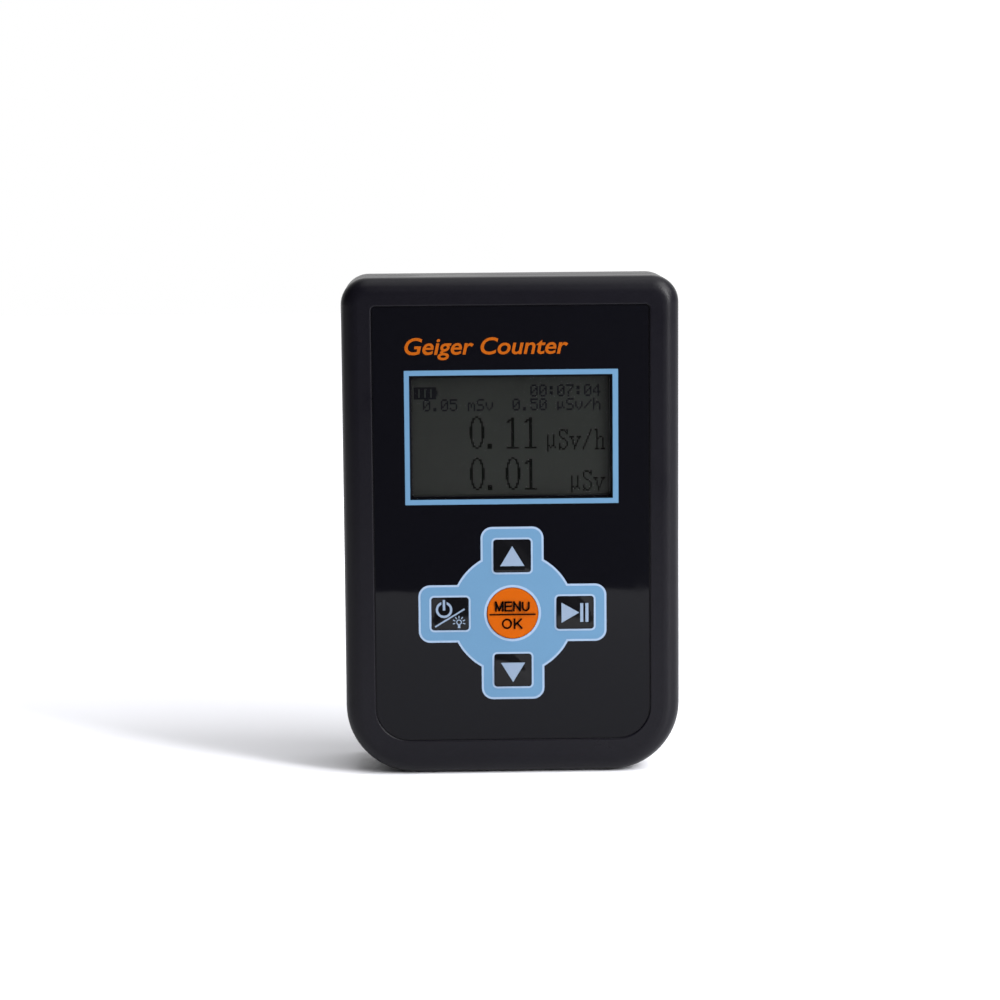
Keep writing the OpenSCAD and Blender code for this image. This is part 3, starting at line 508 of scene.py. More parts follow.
def new_plate(x, z, width, height, back, front, corner=0.0, edge=0.0):
    """A plate with rounded corners and, where edge is given, a rounded front edge."""
    piece = new_box((x - width / 2, front, z - height / 2), (x + width / 2, back, z + height / 2))
    if corner:
        round_corners(piece, corner)
    if edge:
        round_front(piece, edge)
    return piece


def combine(piece, others, operation="UNION"):
    """Joins other shapes to a piece, or cuts them out of it."""
    for other in others:
        deselect()
        bpy.context.view_layer.objects.active = piece
        cut = piece.modifiers.new("Cut", "BOOLEAN")
        cut.operation, cut.solver, cut.object = operation, "EXACT", other
        bpy.ops.object.modifier_apply(modifier=cut.name)
        bpy.data.objects.remove(other)
    return piece


def join(pieces):
    """Makes one object of several, each keeping its own mesh shells."""
    deselect()
    for piece in pieces:
        piece.select_set(True)
    bpy.context.view_layer.objects.active = pieces[0]
    bpy.ops.object.join()
    return bpy.context.object


def lettering(words, x, z, height, width, back, front, bold=0.0, slant=0.0):
    """Raised lettering whose box is centred at x and z and has the given height and width."""
    deselect()
    bpy.ops.object.text_add(location=(0, 0, 0))
    text = bpy.context.object
    text.data.body = words
    text.data.align_x, text.data.align_y = "CENTER", "CENTER"
    text.data.offset = bold
    text.data.shear = slant
    text.data.extrude = 0.5
    text.data.resolution_u = 6
    bpy.ops.object.convert(target="MESH")
    piece = bpy.context.object
    size = piece.dimensions.copy()
    centre = sum((Vector(c) for c in piece.bound_box), Vector()) / 8
    scale = Matrix.Diagonal((width * MM / size.x, height * MM / size.y, (back - front) * MM / size.z, 1))
    stand = Matrix.Rotation(QUARTER, 4, "X")
    place = Matrix.Translation(Vector((x, (back + front) / 2, z)) * MM)
    piece.matrix_world = place @ stand @ scale @ Matrix.Translation(-centre)
    return bake_place()


# ---------------------------------------------------------------- settings

class GeigerFinishSettings(bpy.types.PropertyGroup):
    """Sizes of the printed and moulded details."""
    edge_round: bpy.props.FloatProperty(
        name="Edge rounding", description="Rounding of small moulded edges, in millimetres",
        default=0.15, min=0.02, max=0.5)
    frame_width: bpy.props.FloatProperty(
        name="Frame width", description="Width over the printed frame round the display, in millimetres",
        default=44.3, min=40, max=50)
    frame_height: bpy.props.FloatProperty(
        name="Frame height", description="Height over the printed frame round the display, in millimetres",
        default=27.95, min=24, max=32)
    cross_width: bpy.props.FloatProperty(
        name="Cross width", description="Width over the printed key cross, in millimetres",
        default=39.2, min=34, max=46)
    cross_height: bpy.props.FloatProperty(
        name="Cross height", description="Height over the printed key cross, in millimetres",
        default=36.35, min=32, max=44)
    outline: bpy.props.FloatProperty(
        name="Outline", description="Width of the pale line round the key cross, in millimetres",
        default=0.42, min=0.1, max=1.0)
    title: bpy.props.StringProperty(
        name="Title", description="Words printed over the display", default="Geiger Counter")


class GeigerStageSettings(bpy.types.PropertyGroup):
    """The camera and the lights."""
    distance: bpy.props.FloatProperty(
        name="Camera distance", description="From the camera to the middle of the front",
        default=0.6081, min=0.2, max=3, unit="LENGTH")
    elevation: bpy.props.FloatProperty(
        name="Camera elevation", description="Angle of the camera over the horizon",
        default=math.radians(6.86), subtype="ANGLE")
    azimuth: bpy.props.FloatProperty(
        name="Camera azimuth", description="Angle of the camera round the upright axis",
        default=math.radians(-1.31), subtype="ANGLE")
    tilt: bpy.props.FloatProperty(
        name="Camera tilt", description="Angle of the camera about its own line of sight",
        default=math.radians(-0.48), subtype="ANGLE")
    lens: bpy.props.FloatProperty(
        name="Lens", description="Focal length of the camera, in millimetres",
        default=105.43, min=20, max=300)
    side_light: bpy.props.FloatProperty(
        name="Side light", description="Power of the soft light at the right",
        default=7.4, min=0, unit="POWER")
    top_light: bpy.props.FloatProperty(
        name="Top light", description="Power of the soft light overhead",
        default=5.0, min=0, unit="POWER")
    front_light: bpy.props.FloatProperty(
        name="Front light", description="Power of the soft light over the camera",
        default=1.5, min=0, unit="POWER")
    edge_light: bpy.props.FloatProperty(
        name="Edge light", description="Power of the narrow light that catches the right edge",
        default=5.6, min=0, unit="POWER")
    table_front: bpy.props.FloatProperty(
        name="Table front", description="From the meter's middle to the table's front edge",
        default=0.27, min=0.1, max=2, unit="LENGTH")


# ---------------------------------------------------------------- stage

AIM_X, AIM_Z = -2.44, 57.83
TABLE_WIDTH, TABLE_DEPTH = 3.0, 2.0
TABLE_DROP = 0.0001
TABLE_FRONT_GLOW = 0.4
TABLE_FAR_GLOW = 0.6

# Each light's name, place, the height that it shines at, and its width and height, in metres
LIGHTS = (
    ("side_light", (0.5, -0.24, 0.6), 0.05, 0.5, 0.5),
    ("top_light", (0.16, -0.02, 0.97), 0.03, 0.9, 0.9),
    ("edge_light", (0.48, -0.44, 0.31), 0.05, 0.12, 0.4),
    ("front_light", (0.35, -0.85, 0.75), 0.05, 0.7, 0.5),
)
# How bright the surround is: from and to a part of the view, and the brightness at both
BACK_FALL = (0.1, 1.0, 0.035, 1.0)
RIGHT_FALL = (0.02, 0.2, 0.0, 0.32)


def area_light(name, place, target, width, height, power):
    """A soft rectangular light that shines at a point on the meter's axis."""
    light = bpy.data.lights.new(name, "AREA")
    light.shape = "RECTANGLE"
    light.size = width
    light.size_y = height
    light.energy = power
    lamp = bpy.data.objects.new(name, light)
    bpy.context.scene.collection.objects.link(lamp)
    lamp.location = place
    lamp.rotation_mode = "QUATERNION"
    lamp.rotation_quaternion = (Vector((0, 0, target)) - Vector(place)).to_track_quat("-Z", "Y")


class GEIGER_OT_stage(bpy.types.Operator):
    """Sets the camera, the pale table, the pale surround and the soft lights"""
    bl_idname = "geiger.stage"
    bl_label = "Stage"

    def execute(self, context):
        settings = context.scene.geiger_stage
        self.camera(context.scene, settings)
        self.table(settings)
        self.surround(context.scene)
        for name, place, target, width, height in LIGHTS:
            area_light(name, place, target, width, height, getattr(settings, name))
        context.scene.view_settings.view_transform = "Standard"
        return {"FINISHED"}

    def camera(self, scene, settings):
        turn, rise, tilt = settings.azimuth, settings.elevation, settings.tilt
        back = Vector((math.sin(turn) * math.cos(rise), -math.cos(turn) * math.cos(rise), math.sin(rise)))
        right = (-back).cross(Vector((0, 0, 1))).normalized()
        up = back.cross(right)
        side = right * math.cos(tilt) + up * math.sin(tilt)
        top = back.cross(side)
        target = Vector((AIM_X, HOUSING.front, AIM_Z)) * MM
        camera = bpy.data.objects.new("camera", bpy.data.cameras.new("camera"))
        camera.data.lens = settings.lens
        camera.data.clip_start = 0.01
        camera.matrix_world = Matrix((side, top, back)).transposed().to_4x4()
        camera.location = target + back * settings.distance
        scene.collection.objects.link(camera)
        scene.camera = camera

    def table(self, settings):
        deselect()
        middle = (0, TABLE_DEPTH / 2 - settings.table_front, -TABLE_DROP)
        bpy.ops.mesh.primitive_plane_add(size=1, location=middle)
        bpy.context.object.scale = (TABLE_WIDTH, TABLE_DEPTH, 1)
        table = bake_place()
        table.name = "table"
        shader = Shader("table paint", (0.93, 0.93, 0.93), 0.45)
        shade = shader.noise(60, 2, 0.5)
        shader.set("Base Color", shader.mix(shade, (0.87, 0.875, 0.92, 1), (0.89, 0.895, 0.94, 1)))
        _, y, _ = shader.axes()
        away = shader.node("ShaderNodeVectorMath", {"operation": "LENGTH"}, {0: shader.at()}, 1)
        glow = TABLE_FRONT_GLOW * (0 - y).ramp(14, 50) + TABLE_FAR_GLOW * away.ramp(130, 330)
        shader.set("Emission Color", shader.mix(glow, (0, 0, 0, 1), (1, 1, 1, 1)))
        shader.set("Emission Strength", 1.0)
        table.data.materials.append(shader.material)

    def surround(self, scene):
        """A white surround behind the meter that falls off to a dim room in front of it."""
        world = bpy.data.worlds.new("surround")
        scene.world = world
        world.use_nodes = True
        nodes, links = world.node_tree.nodes, world.node_tree.links

        def fall(source, limits):
            made = nodes.new("ShaderNodeMapRange")
            made.interpolation_type = "SMOOTHSTEP"
            for name, value in zip(("From Min", "From Max", "To Min", "To Max"), limits):
                made.inputs[name].default_value = value
            links.new(source, made.inputs["Value"])
            return made.outputs[0]

        def maths(operation, first, second):
            made = nodes.new("ShaderNodeMath")
            made.operation = operation
            links.new(first, made.inputs[0])
            links.new(second, made.inputs[1])
            return made.outputs[0]

        split = nodes.new("ShaderNodeSeparateXYZ")
        links.new(nodes.new("ShaderNodeTexCoord").outputs["Generated"], split.inputs[0])
        glow = maths("ADD", fall(split.outputs["Y"], BACK_FALL), fall(split.outputs["X"], RIGHT_FALL))
        seen = nodes.new("ShaderNodeLightPath").outputs["Is Camera Ray"]
        sky = nodes["Background"]
        sky.inputs["Color"].default_value = (1, 1, 1, 1)
        links.new(maths("MAXIMUM", glow, seen), sky.inputs["Strength"])


# ---------------------------------------------------------------- overlay prints

class GEIGER_OT_display_border(bpy.types.Operator):
    """Prints the light blue line round the display"""
    bl_idname = "geiger.display_border"
    bl_label = "Display border"

    def execute(self, context):
        settings = context.scene.geiger_finish
        x, z = WINDOW.centre.x, WINDOW.centre.z
        width, height = WINDOW_OPENING
        border = new_plate(x + BORDER_SHIFT, z, settings.frame_width, settings.frame_height,
                           FRONT, FRONT - INK, BORDER_CORNER)
        inside = new_plate(x, z, width + BORDER_GAP, height + BORDER_GAP, FRONT + 1, FRONT - 1, BORDER_CORNER)
        combine(border, [inside], "DIFFERENCE")
        settle(border, "display_border_print", "print_blue")
        return {"FINISHED"}


class GEIGER_OT_title(bpy.types.Operator):
    """Prints a generic title over the display"""
    bl_idname = "geiger.title"
    bl_label = "Title"

    def execute(self, context):
        piece = lettering(context.scene.geiger_finish.title, (TITLE_LEFT + TITLE_RIGHT) / 2,
                          (TITLE_FOOT + TITLE_TOP) / 2, TITLE_TOP - TITLE_FOOT, TITLE_RIGHT - TITLE_LEFT,
                          FRONT, FRONT - INK, TITLE_BOLD, TITLE_SLANT)
        settle(piece, "title_print", "print_orange")
        return {"FINISHED"}


def key_cross(width, height, shrink, back, front):
    """The printed cross: an upright arm, a level arm and a disc."""
    upright = new_plate(MIDDLE.x, MIDDLE.z, CROSS_ARM_W - 2 * shrink, height - 2 * shrink,
                        back, front, CROSS_CORNER - shrink)
    level = new_plate(MIDDLE.x, MIDDLE.z, width - 2 * shrink, CROSS_ARM_H - 2 * shrink,
                      back, front, CROSS_CORNER - shrink)
    disc = new_disc(MIDDLE.x, MIDDLE.z, CROSS_DISC_R - shrink, back, front)
    return combine(upright, [level, disc])


def key_holes(grow, menu_grow):
    """Cutters for the five key openings in a print, wider than the keys by grow on each side."""
    holes = []
    for name, place in KEYS.items():
        width = place.size.x - 2 * PAD_FLANGE + 2 * grow
        height = place.size.z - 2 * PAD_FLANGE + 2 * grow
        if name == "menu":
            radius = place.size.x / 2 - PAD_FLANGE + menu_grow
            holes.append(new_disc(place.centre.x, place.centre.z, radius, FRONT + 1, FRONT - 1))
        else:
            holes.append(new_plate(place.centre.x, place.centre.z, width, height,
                                   FRONT + 1, FRONT - 1, KEY_CORNER + grow))
    return holes


class GEIGER_OT_key_cross(bpy.types.Operator):
    """Prints the light blue cross under the keys and its pale outline"""
    bl_idname = "geiger.key_cross"
    bl_label = "Key cross"

    def execute(self, context):
        settings = context.scene.geiger_finish
        width, height = settings.cross_width, settings.cross_height
        outline = key_cross(width, height, 0, FRONT, FRONT - INK)
        combine(outline, key_holes(*PALE_GAPS), "DIFFERENCE")
        settle(outline, "key_cross_outline_print", "print_pale")
        cross = key_cross(width, height, settings.outline, FRONT - INK / 2, FRONT - 1.6 * INK)
        combine(cross, key_holes(*BLUE_GAPS), "DIFFERENCE")
        settle(cross, "key_cross_print", "print_blue")
        return {"FINISHED"}


# ---------------------------------------------------------------- keys

def arc(middle, reach, start, end, steps=10):
    """Points along an arc of an ellipse, at angles in quarter turns."""
    angles = [QUARTER * (start + (end - start) * step / steps) for step in range(steps + 1)]
    return [(middle[0] + reach[0] * math.cos(a), middle[1] + reach[1] * math.sin(a)) for a in angles]


STROKES = {
    "M": [[(0, 0), (0, 1), (0.5, 0.05), (1, 1), (1, 0)]],
    "E": [[(1, 0), (0.08, 0), (0.08, 1), (0.96, 1)], [(0.08, 0.52), (0.9, 0.52)]],
    "N": [[(0.05, 0), (0.05, 1), (0.95, 0), (0.95, 1)]],
    "U": [[(0.05, 1), *arc((0.5, 0.4), (0.45, 0.4), 2, 4), (0.95, 1)]],
    "O": [arc((0.42, 0.5), (0.55, 0.5), 0, 4, 24)],
    "K": [[(0.1, 0), (0.1, 1)], [(0.95, 1), (0.1, 0.3)], [(0.4, 0.6), (1, 0)]],
}


class GEIGER_OT_keys(bpy.types.Operator):
    """Makes the five raised keys with their rounded edges, flanges and symbols"""
    bl_idname = "geiger.keys"
    bl_label = "Keys"

    def execute(self, context):
        for name, place in KEYS.items():
            self.pad(name, place, context.scene.geiger_finish)
        self.arrows()
        self.power_and_lamp()
        self.play_and_pause()
        self.menu_words()
        return {"FINISHED"}

    def pad(self, name, place, settings):
        x, z = place.centre.x, place.centre.z
        width, height = place.size.x - 2 * PAD_FLANGE, place.size.z - 2 * PAD_FLANGE
        step = place.high.y - FLANGE_DEPTH
        pad = self.domed_slab(x, z, width, height, step + 1, place.front)
        if name == "menu":
            outline = new_disc(x, z, width / 2, step, place.front - 1)
            flange = new_disc(x, z, place.size.x / 2, place.high.y, step)
        else:
            outline = new_plate(x, z, width, height, step, place.front - 1, KEY_CORNER)
            flange = new_plate(x, z, place.size.x, place.size.z, place.high.y, step, KEY_CORNER + PAD_FLANGE)
        combine(pad, [outline], "INTERSECT")
        front = place.front + 0.15
        pick(pad, "FACE", lambda at, face: face.normal.y < -0.9 and at.y < front)
        bpy.ops.mesh.region_to_loop()
        bpy.ops.mesh.bevel(offset=settings.edge_round * MM, segments=4, affect="EDGES")
        deselect()
        combine(pad, [flange])
        slot = "key_orange" if name == "menu" else "key_black"
        settle(pad, "key_" + name + "_pad", slot, "key_" + name + "_body", 30, ["key_" + name])

    def domed_slab(self, x, z, width, height, back, front):
        """A slab that bulges forward very slightly, most of all a little below its middle."""
        rest = front + DOME_RISE
        slab = new_box((x - width / 2 - 0.5, rest, z - height / 2 - 0.5),
                       (x + width / 2 + 0.5, back, z + height / 2 + 0.5))
        pick(slab, "FACE", lambda at, face: True)
        bpy.ops.mesh.subdivide(number_cuts=15)
        peak = Vector((x, rest, z - DOME_DOWN))
        middle = min(slab.data.vertices, key=lambda v: (v.co / MM - peak).length).index
        pick(slab, "VERT", lambda at, point: point.index == middle)
        bpy.ops.transform.translate(value=(0, -DOME_RISE * MM, 0), use_proportional_edit=True,
                                    proportional_edit_falloff="SPHERE", proportional_size=DOME_REACH * MM)
        deselect()
        return slab

    def ink(self, piece, key, name, slot="print_pale", finish="symbol_ink"):
        settle(piece, name, slot, "key_" + key + "_body", finish=finish)

    def levels(self, key):
        """The back and the front of a key's symbols."""
        return KEYS[key].front + SYMBOL_DEPTH, KEYS[key].front

    def triangle(self, key, dx, dz, width, height, turn):
        """A flat triangle that points up, turned about the line of sight."""
        back, front = self.levels(key)
        place = KEYS[key].centre
        deselect()
        bpy.ops.mesh.primitive_cylinder_add(vertices=3, radius=1, depth=(back - front) * MM,
                                            rotation=(QUARTER, 0, 0))
        piece = bake_place()
        size = piece.dimensions
        lean = Matrix.Rotation(turn, 4, "Y")
        low = min(v.co.z for v in piece.data.vertices)
        flat = Matrix.Diagonal((width * MM / size.x, 1, height * MM / size.z, 1))
        rest = Matrix.Translation((0, 0, -low - size.z / 2))
        spot = Matrix.Translation(Vector((place.x + dx, (back + front) / 2, place.z + dz)) * MM)
        piece.matrix_world = spot @ lean @ flat @ rest
        return bake_place()

    def bar(self, key, dx, dz, width, height, turn=0.0):
        """A flat bar, turned about the line of sight."""
        back, front = self.levels(key)
        place = KEYS[key].centre
        piece = new_box((-width / 2, front, -height / 2), (width / 2, back, height / 2))
        spot = Matrix.Translation(Vector((place.x + dx, 0, place.z + dz)) * MM)
        piece.matrix_world = spot @ Matrix.Rotation(turn, 4, "Y")
        return bake_place()

    def arrows(self):
        self.ink(self.triangle("up", 0, 0, 5.05, 4.2, 0), "up", "up_arrow_print")
        self.ink(self.triangle("down", 0, -0.45, 5.05, 4.1, math.pi), "down", "down_arrow_print")

    def play_and_pause(self):
        parts = [self.triangle("play", -1.0, 0, 4.25, 3.7, QUARTER),
                 self.bar("play", 1.37, 0, 0.64, 3.95),
                 self.bar("play", 2.46, 0, 0.64, 3.95)]
        self.ink(join(parts), "play", "play_pause_print")

    def ring(self, key, dx, dz, radius, width, gap=0.0):
        """A flat ring, with a gap of the given width at its top."""
        back, front = self.levels(key)
        place = KEYS[key].centre
        x, z = place.x + dx, place.z + dz
        outer = new_disc(x, z, radius, back, front, 48)
        inner = new_disc(x, z, radius - width, back + 1, front - 1, 48)
        combine(outer, [inner], "DIFFERENCE")
        if gap:
            opening = new_box((x - gap / 2, front - 1, z), (x + gap / 2, back + 1, z + 2 * radius))
            combine(outer, [opening], "DIFFERENCE")
        return outer

    def power_and_lamp(self):
        key = "power"
        sign_x, sign_z = -1.25, 0.9
        lamp_x, lamp_z = 1.85, -1.75
        ray_reach, ray_turn = 1.08, math.radians(35)
        parts = [self.ring(key, sign_x, sign_z, 1.72, 0.48, 1.1),
                 self.bar(key, sign_x, sign_z + 0.95, 0.5, 2.2),
                 self.bar(key, -0.06, -0.84, 0.32, 7.2, math.radians(59)),
                 self.ring(key, lamp_x, lamp_z, 0.58, 0.2),
                 self.bar(key, lamp_x, lamp_z - 0.87, 0.5, 0.7)]
        for step in range(-3, 4):
            angle = step * ray_turn
            dx, dz = lamp_x + ray_reach * math.sin(angle), lamp_z + ray_reach * math.cos(angle)
            parts.append(self.bar(key, dx, dz, 0.2, 0.52, angle))
        self.ink(join(parts), key, "power_lamp_print")

    def stroke_word(self, key, word, dx, dz, width, height, stroke):
        """A word in plain upright strokes, centred on a key's middle and moved by dx and dz."""
        pitch = (width - stroke) / (len(word) * 1.3 - 0.3)
        parts = []
        for place, sign in enumerate(word):
            left = dx - (width - stroke) / 2 + place * pitch * 1.3
            for path in STROKES[sign]:
                points = [(left + u * pitch, dz + (v - 0.5) * (height - stroke)) for u, v in path]
                for (x0, z0), (x1, z1) in zip(points, points[1:]):
                    long = math.hypot(x1 - x0, z1 - z0)
                    turn = math.atan2(x1 - x0, z1 - z0)
                    over = stroke if len(path) < 6 else stroke * 0.3
                    parts.append(self.bar(key, (x0 + x1) / 2, (z0 + z1) / 2, stroke, long + over, turn))
        return join(parts)

    def menu_words(self):
        words = [self.stroke_word("menu", "MENU", 0, 1.45, 7.3, 2.15, 0.36),
                 self.stroke_word("menu", "OK", 0, -2.2, 4.1, 2.2, 0.36),
                 self.bar("menu", 0, -0.25, 9.6, 0.3)]
        for piece, name in zip(words, ("menu_word_print", "ok_word_print", "menu_line_print")):
            self.ink(piece, "menu", name, "display_dots", None)


# ---------------------------------------------------------------- display

SMALL_GLYPHS = {
    "0": (".###.", "#...#", "#..##", "#.#.#", "##..#", "#...#", ".###."),
    "4": ("...#.", "..##.", ".#.#.", "#..#.", "#####", "...#.", "...#."),
    "5": ("#####", "#....", "####.", "....#", "....#", "#...#", ".###."),
    "7": ("#####", "....#", "...#.", "..#..", ".#...", ".#...", ".#..."),
    ":": (".....", ".##..", ".##..", ".....", ".##..", ".##..", "....."),
    ".": (".....", ".....", ".....", ".....", ".....", ".##..", ".##.."),
    "m": (".....", ".....", "##.#.", "#.#.#", "#.#.#", "#...#", "#...#"),
    "S": (".####", "#....", "#....", ".###.", "....#", "....#", "####."),
    "v": (".....", ".....", "#...#", "#...#", "#...#", ".#.#.", "..#.."),
    "u": (".....", ".....", "#..#.", "#..#.", "#..#.", "###.#", "#...."),
    "/": (".....", "....#", "...#.", "..#..", ".#...", "#....", "....."),
    "h": ("#....", "#....", "#.##.", "##..#", "#...#", "#...#", "#...#"),
}
TALL_GLYPHS = {
    "u": ("........", "........", "........", ".#...#..", ".#...#..", ".#...#..", ".#...#..",
          ".#...#..", ".#...#..", ".##.##..", ".#.#..#.", ".#......", ".#......"),
    "S": ("..###.#.", ".#...##.", ".#....#.", ".#......", "..#.....", "...##...", ".....#..",
          "......#.", ".#....#.", ".#....#.", ".##..#..", ".#.##...", "........"),
    "v": ("........", "........", "........", "........", "###..###", ".#....#.", "..#..#..",
          "..#..#..", "..#.#...", "...##...", "...#....", "...#....", "........"),
    "/": ("......#.", "......#.", ".....#..", ".....#..", "....#...", "....#...", "...#....",
          "...#....", "..#.....", "..#.....", ".#......", ".#......", "........"),
    "h": (".##.....", "..#.....", "..#.....", "..#.....", "..#.##..", "..##..#.", "..#...#.",
          "..#...#.", "..#...#.", "..#...#.", "..#...#.", ".###.###", "........"),
}
BIG_ROWS = 19
BIG_COLUMNS = 12
BIG_MIDDLE = 5.5
SMALL_STEP = 6
TALL_STEP = 8
DOT_COLUMNS, DOT_ROWS = 128, 64
DOT_PITCH = (0.31, 0.36)
DOTS_DOWN = 0.2
DOT_PROUD = 0.01
DOT_THICK = 0.009
DOT_GAP = 0.008
PANE_STEP = 0.25
PANE_CORNER = 2.0
PANE_RAISED_CORNER = 0.6
PANE_EDGE = 0.05


def big_digit(sign, x, y):
    """Whether a dot of the largest digits is dark, at column x and row y of its cell."""
    if sign == "0":
        middle = (BIG_ROWS - 1) / 2
        outer = math.hypot((x - BIG_MIDDLE) / 4.9, (y - middle) / (middle + 0.4))
        inner = math.hypot((x - BIG_MIDDLE) / 3.4, (y - middle) / (middle - 0.7))
        return outer <= 1 < inner
    if sign == "1":
        stem = x in (5, 6) and y >= 1
        foot = y == BIG_ROWS - 1 and 2 <= x <= 9
        flag = (y == 3 and x in (2, 3)) or (y == 2 and x in (3, 4, 5))
        return stem or foot or flag
    return x in (1, 2, 3) and y >= BIG_ROWS - 3


def battery_sign():
    """The dots of the battery sign: a nearly full cell with three light slots, and its tip."""
    body = {(x, y) for x in range(15) for y in range(1, 8) if x % 4 != 3 or y in (1, 7)}
    tip = {(15, y) for y in range(3, 6)}
    return body | tip


def dark_dots():
    """Columns and rows of the dots that are dark on the display."""
    dots = set()

    def write(glyphs, step, words, column, row):
        for place, sign in enumerate(words):
            for y, line in enumerate(glyphs[sign]):
                left = column + place * step
                dots.update((left + x, row + y) for x, mark in enumerate(line) if mark == "#")

    write(SMALL_GLYPHS, SMALL_STEP, "00:07:04", 78, 0)
    write(SMALL_GLYPHS, SMALL_STEP, "0.05", 6, 8)
    write(SMALL_GLYPHS, SMALL_STEP, "mSv", 36, 8)
    write(SMALL_GLYPHS, SMALL_STEP, "0.50", 66, 8)
    write(SMALL_GLYPHS, SMALL_STEP, "uSv/h", 96, 8)
    write(TALL_GLYPHS, TALL_STEP, "uSv/h", 88, 26)
    write(TALL_GLYPHS, TALL_STEP, "uSv", 104, 50)
    for words, row in (("0.11", 18), ("0.01", 42)):
        for place, sign in enumerate(words):
            column = 36 + BIG_COLUMNS * place
            cell = ((x, y) for x in range(BIG_COLUMNS) for y in range(BIG_ROWS))
            dots.update((column + x, row + y) for x, y in cell if big_digit(sign, x, y))
    return dots | battery_sign()


class GEIGER_OT_display(bpy.types.Operator):
    """Makes the display's window and its dark dots"""
    bl_idname = "geiger.display"
    bl_label = "Display"

    def execute(self, context):
        self.window()
        self.dots()
        return {"FINISHED"}

    def window(self):
        x, z = WINDOW.centre.x, WINDOW.centre.z
        step = WINDOW.front + PANE_STEP
        raised = new_plate(x, z, *WINDOW_OPENING, step, WINDOW.front, PANE_RAISED_CORNER, PANE_EDGE)
        pane = new_plate(x, z, WINDOW.size.x, WINDOW.size.z, WINDOW.high.y, step, PANE_CORNER)
        combine(pane, [raised])
        settle(pane, "display_window_pane", "window_clear", stands_for=["display_window"])

    def dots(self):
        """A sheet of dots with the pale ones taken out and a gap left round each dark one."""
        deselect()
        size = Vector((DOT_COLUMNS * DOT_PITCH[0], DOT_ROWS * DOT_PITCH[1], 1)) * MM
        front = GLASS.front - DOT_PROUD
        bpy.ops.mesh.primitive_grid_add(
            x_subdivisions=DOT_COLUMNS, y_subdivisions=DOT_ROWS, size=1, rotation=(QUARTER, 0, 0),
            location=Vector((GLASS.centre.x, front, GLASS.centre.z - DOTS_DOWN)) * MM)
        bpy.context.object.scale = size
        sheet = bake_place()
        left = GLASS.centre.x - size.x / MM / 2
        top = GLASS.centre.z - DOTS_DOWN + size.y / MM / 2
        dots = dark_dots()

        def pale(at, _):
            column = math.floor((at.x - left) / DOT_PITCH[0])
            row = math.floor((top - at.z) / DOT_PITCH[1])
            return (column, row) not in dots

        pick(sheet, "FACE", pale)
        bpy.ops.mesh.delete(type="FACE")
        bpy.ops.mesh.select_all(action="SELECT")
        bpy.ops.mesh.inset(thickness=DOT_GAP * MM, use_individual=True)
        bpy.ops.mesh.select_all(action="INVERT")
        bpy.ops.mesh.delete(type="FACE")
        bpy.ops.mesh.select_all(action="SELECT")
        bpy.ops.mesh.extrude_region_move(TRANSFORM_OT_translate={"value": (0, DOT_THICK * MM, 0)})
        bpy.ops.mesh.select_all(action="SELECT")
        bpy.ops.mesh.normals_make_consistent(inside=False)
        settle(sheet, "display_dots", "display_dots")


# ---------------------------------------------------------------- finished CAD pieces

def softened(node, width, steps=2):
    """A copy of a CAD node with its sharp edges rounded, which stands for the node."""
    deselect()
    source = frame["nodes"][node]
    body = source["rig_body"]
    slot = SLOTS[node]
    source.select_set(True)
    bpy.context.view_layer.objects.active = source
    bpy.ops.object.duplicate()
    copy = bpy.context.object
    copy.parent = None
    for key in list(copy.keys()):
        del copy[key]
    if copy.data.has_custom_normals:
        bpy.ops.mesh.customdata_custom_splitnormals_clear()
    bpy.ops.object.mode_set(mode="EDIT")
    bpy.ops.mesh.select_all(action="SELECT")
    bpy.ops.mesh.remove_doubles(threshold=0.002 * MM)
    bpy.ops.mesh.dissolve_limited(angle_limit=math.radians(1))
    bpy.ops.object.mode_set(mode="OBJECT")
    bevel = copy.modifiers.new("Edges", "BEVEL")
    bevel.width, bevel.segments = width * MM, steps
    bevel.limit_method, bevel.angle_limit = "ANGLE", math.radians(40)
    bevel.harden_normals = False
    bpy.ops.object.modifier_apply(modifier=bevel.name)
    return settle(copy, node + "_finished", slot, body, 30, [node])


SLOTS = {part["node"]: part["material_slot"] for part in frame["record"]["subparts"]}
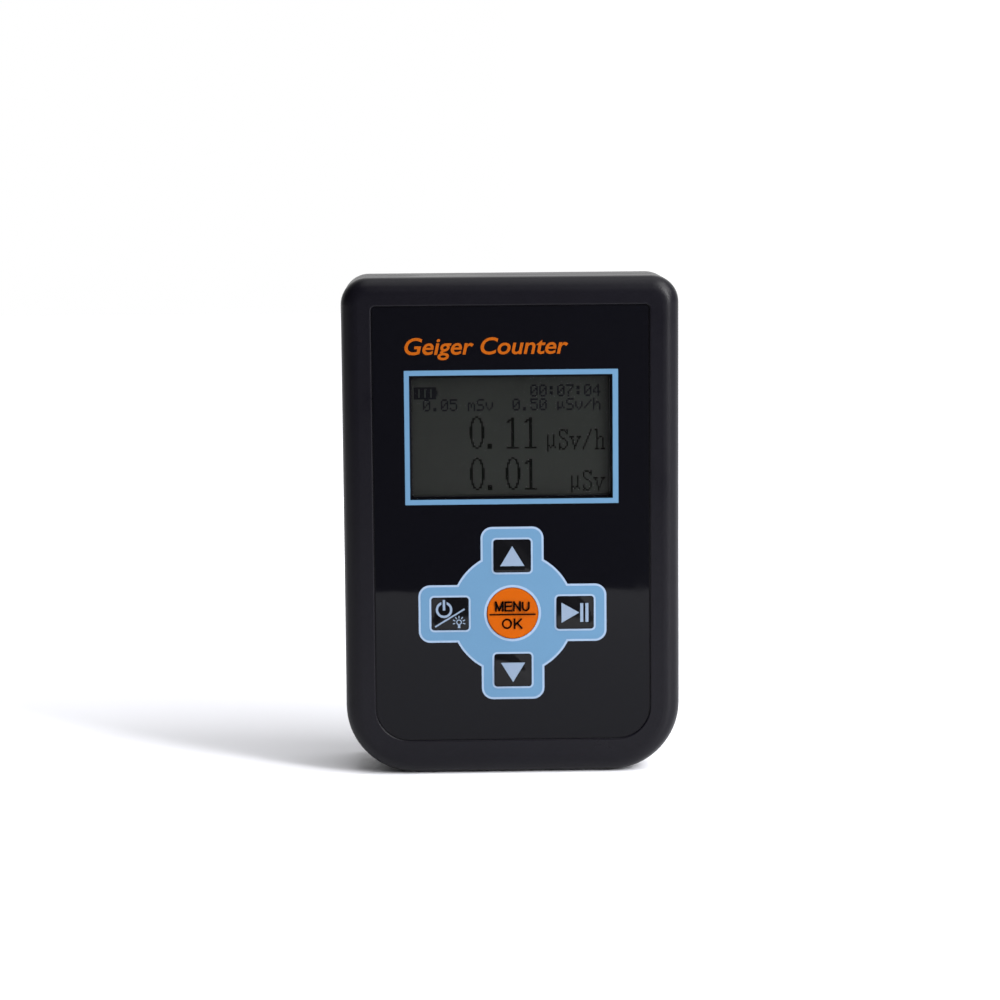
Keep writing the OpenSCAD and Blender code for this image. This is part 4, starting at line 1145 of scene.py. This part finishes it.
# How far each part's sharp edges are rounded, in millimetres
SOFT_EDGES = {
    "belt_clip": 0.35, "clip_bracket": 0.2, "clip_pin": 0.15, "battery_door": 0.12,
    "lcd_frame": 0.1, "processor": 0.1, "small_chips": 0.1, "ribbon_connector": 0.08,
    "buzzer": 0.3, "transformer_core": 0.25, "transformer_winding": 0.4, "tube_capacitors": 0.7,
    "tube_caps": 0.3, "switch_bodies": 0.1, "lcd_backlight": 0.1,
}


class GEIGER_OT_soften(bpy.types.Operator):
    """Rounds the sharp edges of the smaller moulded and pressed parts"""
    bl_idname = "geiger.soften"
    bl_label = "Soften edges"

    def execute(self, context):
        for node, width in SOFT_EDGES.items():
            softened(node, width)
        return {"FINISHED"}


class GEIGER_OT_finishes(bpy.types.Operator):
    """Gives every part of the frame its own material"""
    bl_idname = "geiger.finishes"
    bl_label = "Finishes"

    def execute(self, context):
        for node, part in frame["nodes"].items():
            part.data.materials.clear()
            part.data.materials.append(finish_for(SLOTS[node]))
        return {"FINISHED"}


# ---------------------------------------------------------------- panel and main

class GEIGER_PT_panel(bpy.types.Panel):
    """Lists the steps that finish the meter"""
    bl_label = "Geiger Counter"
    bl_idname = "GEIGER_PT_panel"
    bl_space_type = "VIEW_3D"
    bl_region_type = "UI"
    bl_category = "Geiger"

    def draw(self, context):
        for settings in (context.scene.geiger_finish, context.scene.geiger_stage):
            for name in settings.__annotations__:
                self.layout.prop(settings, name)
        for step in STEPS:
            self.layout.operator(step.bl_idname)


STEPS = (GEIGER_OT_stage, GEIGER_OT_finishes, GEIGER_OT_soften, GEIGER_OT_display_border, GEIGER_OT_title,
         GEIGER_OT_key_cross, GEIGER_OT_keys, GEIGER_OT_display)
CLASSES = (GeigerFinishSettings, GeigerStageSettings, *STEPS, GEIGER_PT_panel)


def register():
    for cls in CLASSES:
        bpy.utils.register_class(cls)
    bpy.types.Scene.geiger_finish = bpy.props.PointerProperty(type=GeigerFinishSettings)
    bpy.types.Scene.geiger_stage = bpy.props.PointerProperty(type=GeigerStageSettings)


def unregister():
    del bpy.types.Scene.geiger_stage
    del bpy.types.Scene.geiger_finish
    for cls in reversed(CLASSES):
        bpy.utils.unregister_class(cls)


def main():
    register()
    for step in STEPS:
        group, name = step.bl_idname.split(".")
        getattr(getattr(bpy.ops, group), name)()
    deselect()


if __name__ == "__main__":
    main()
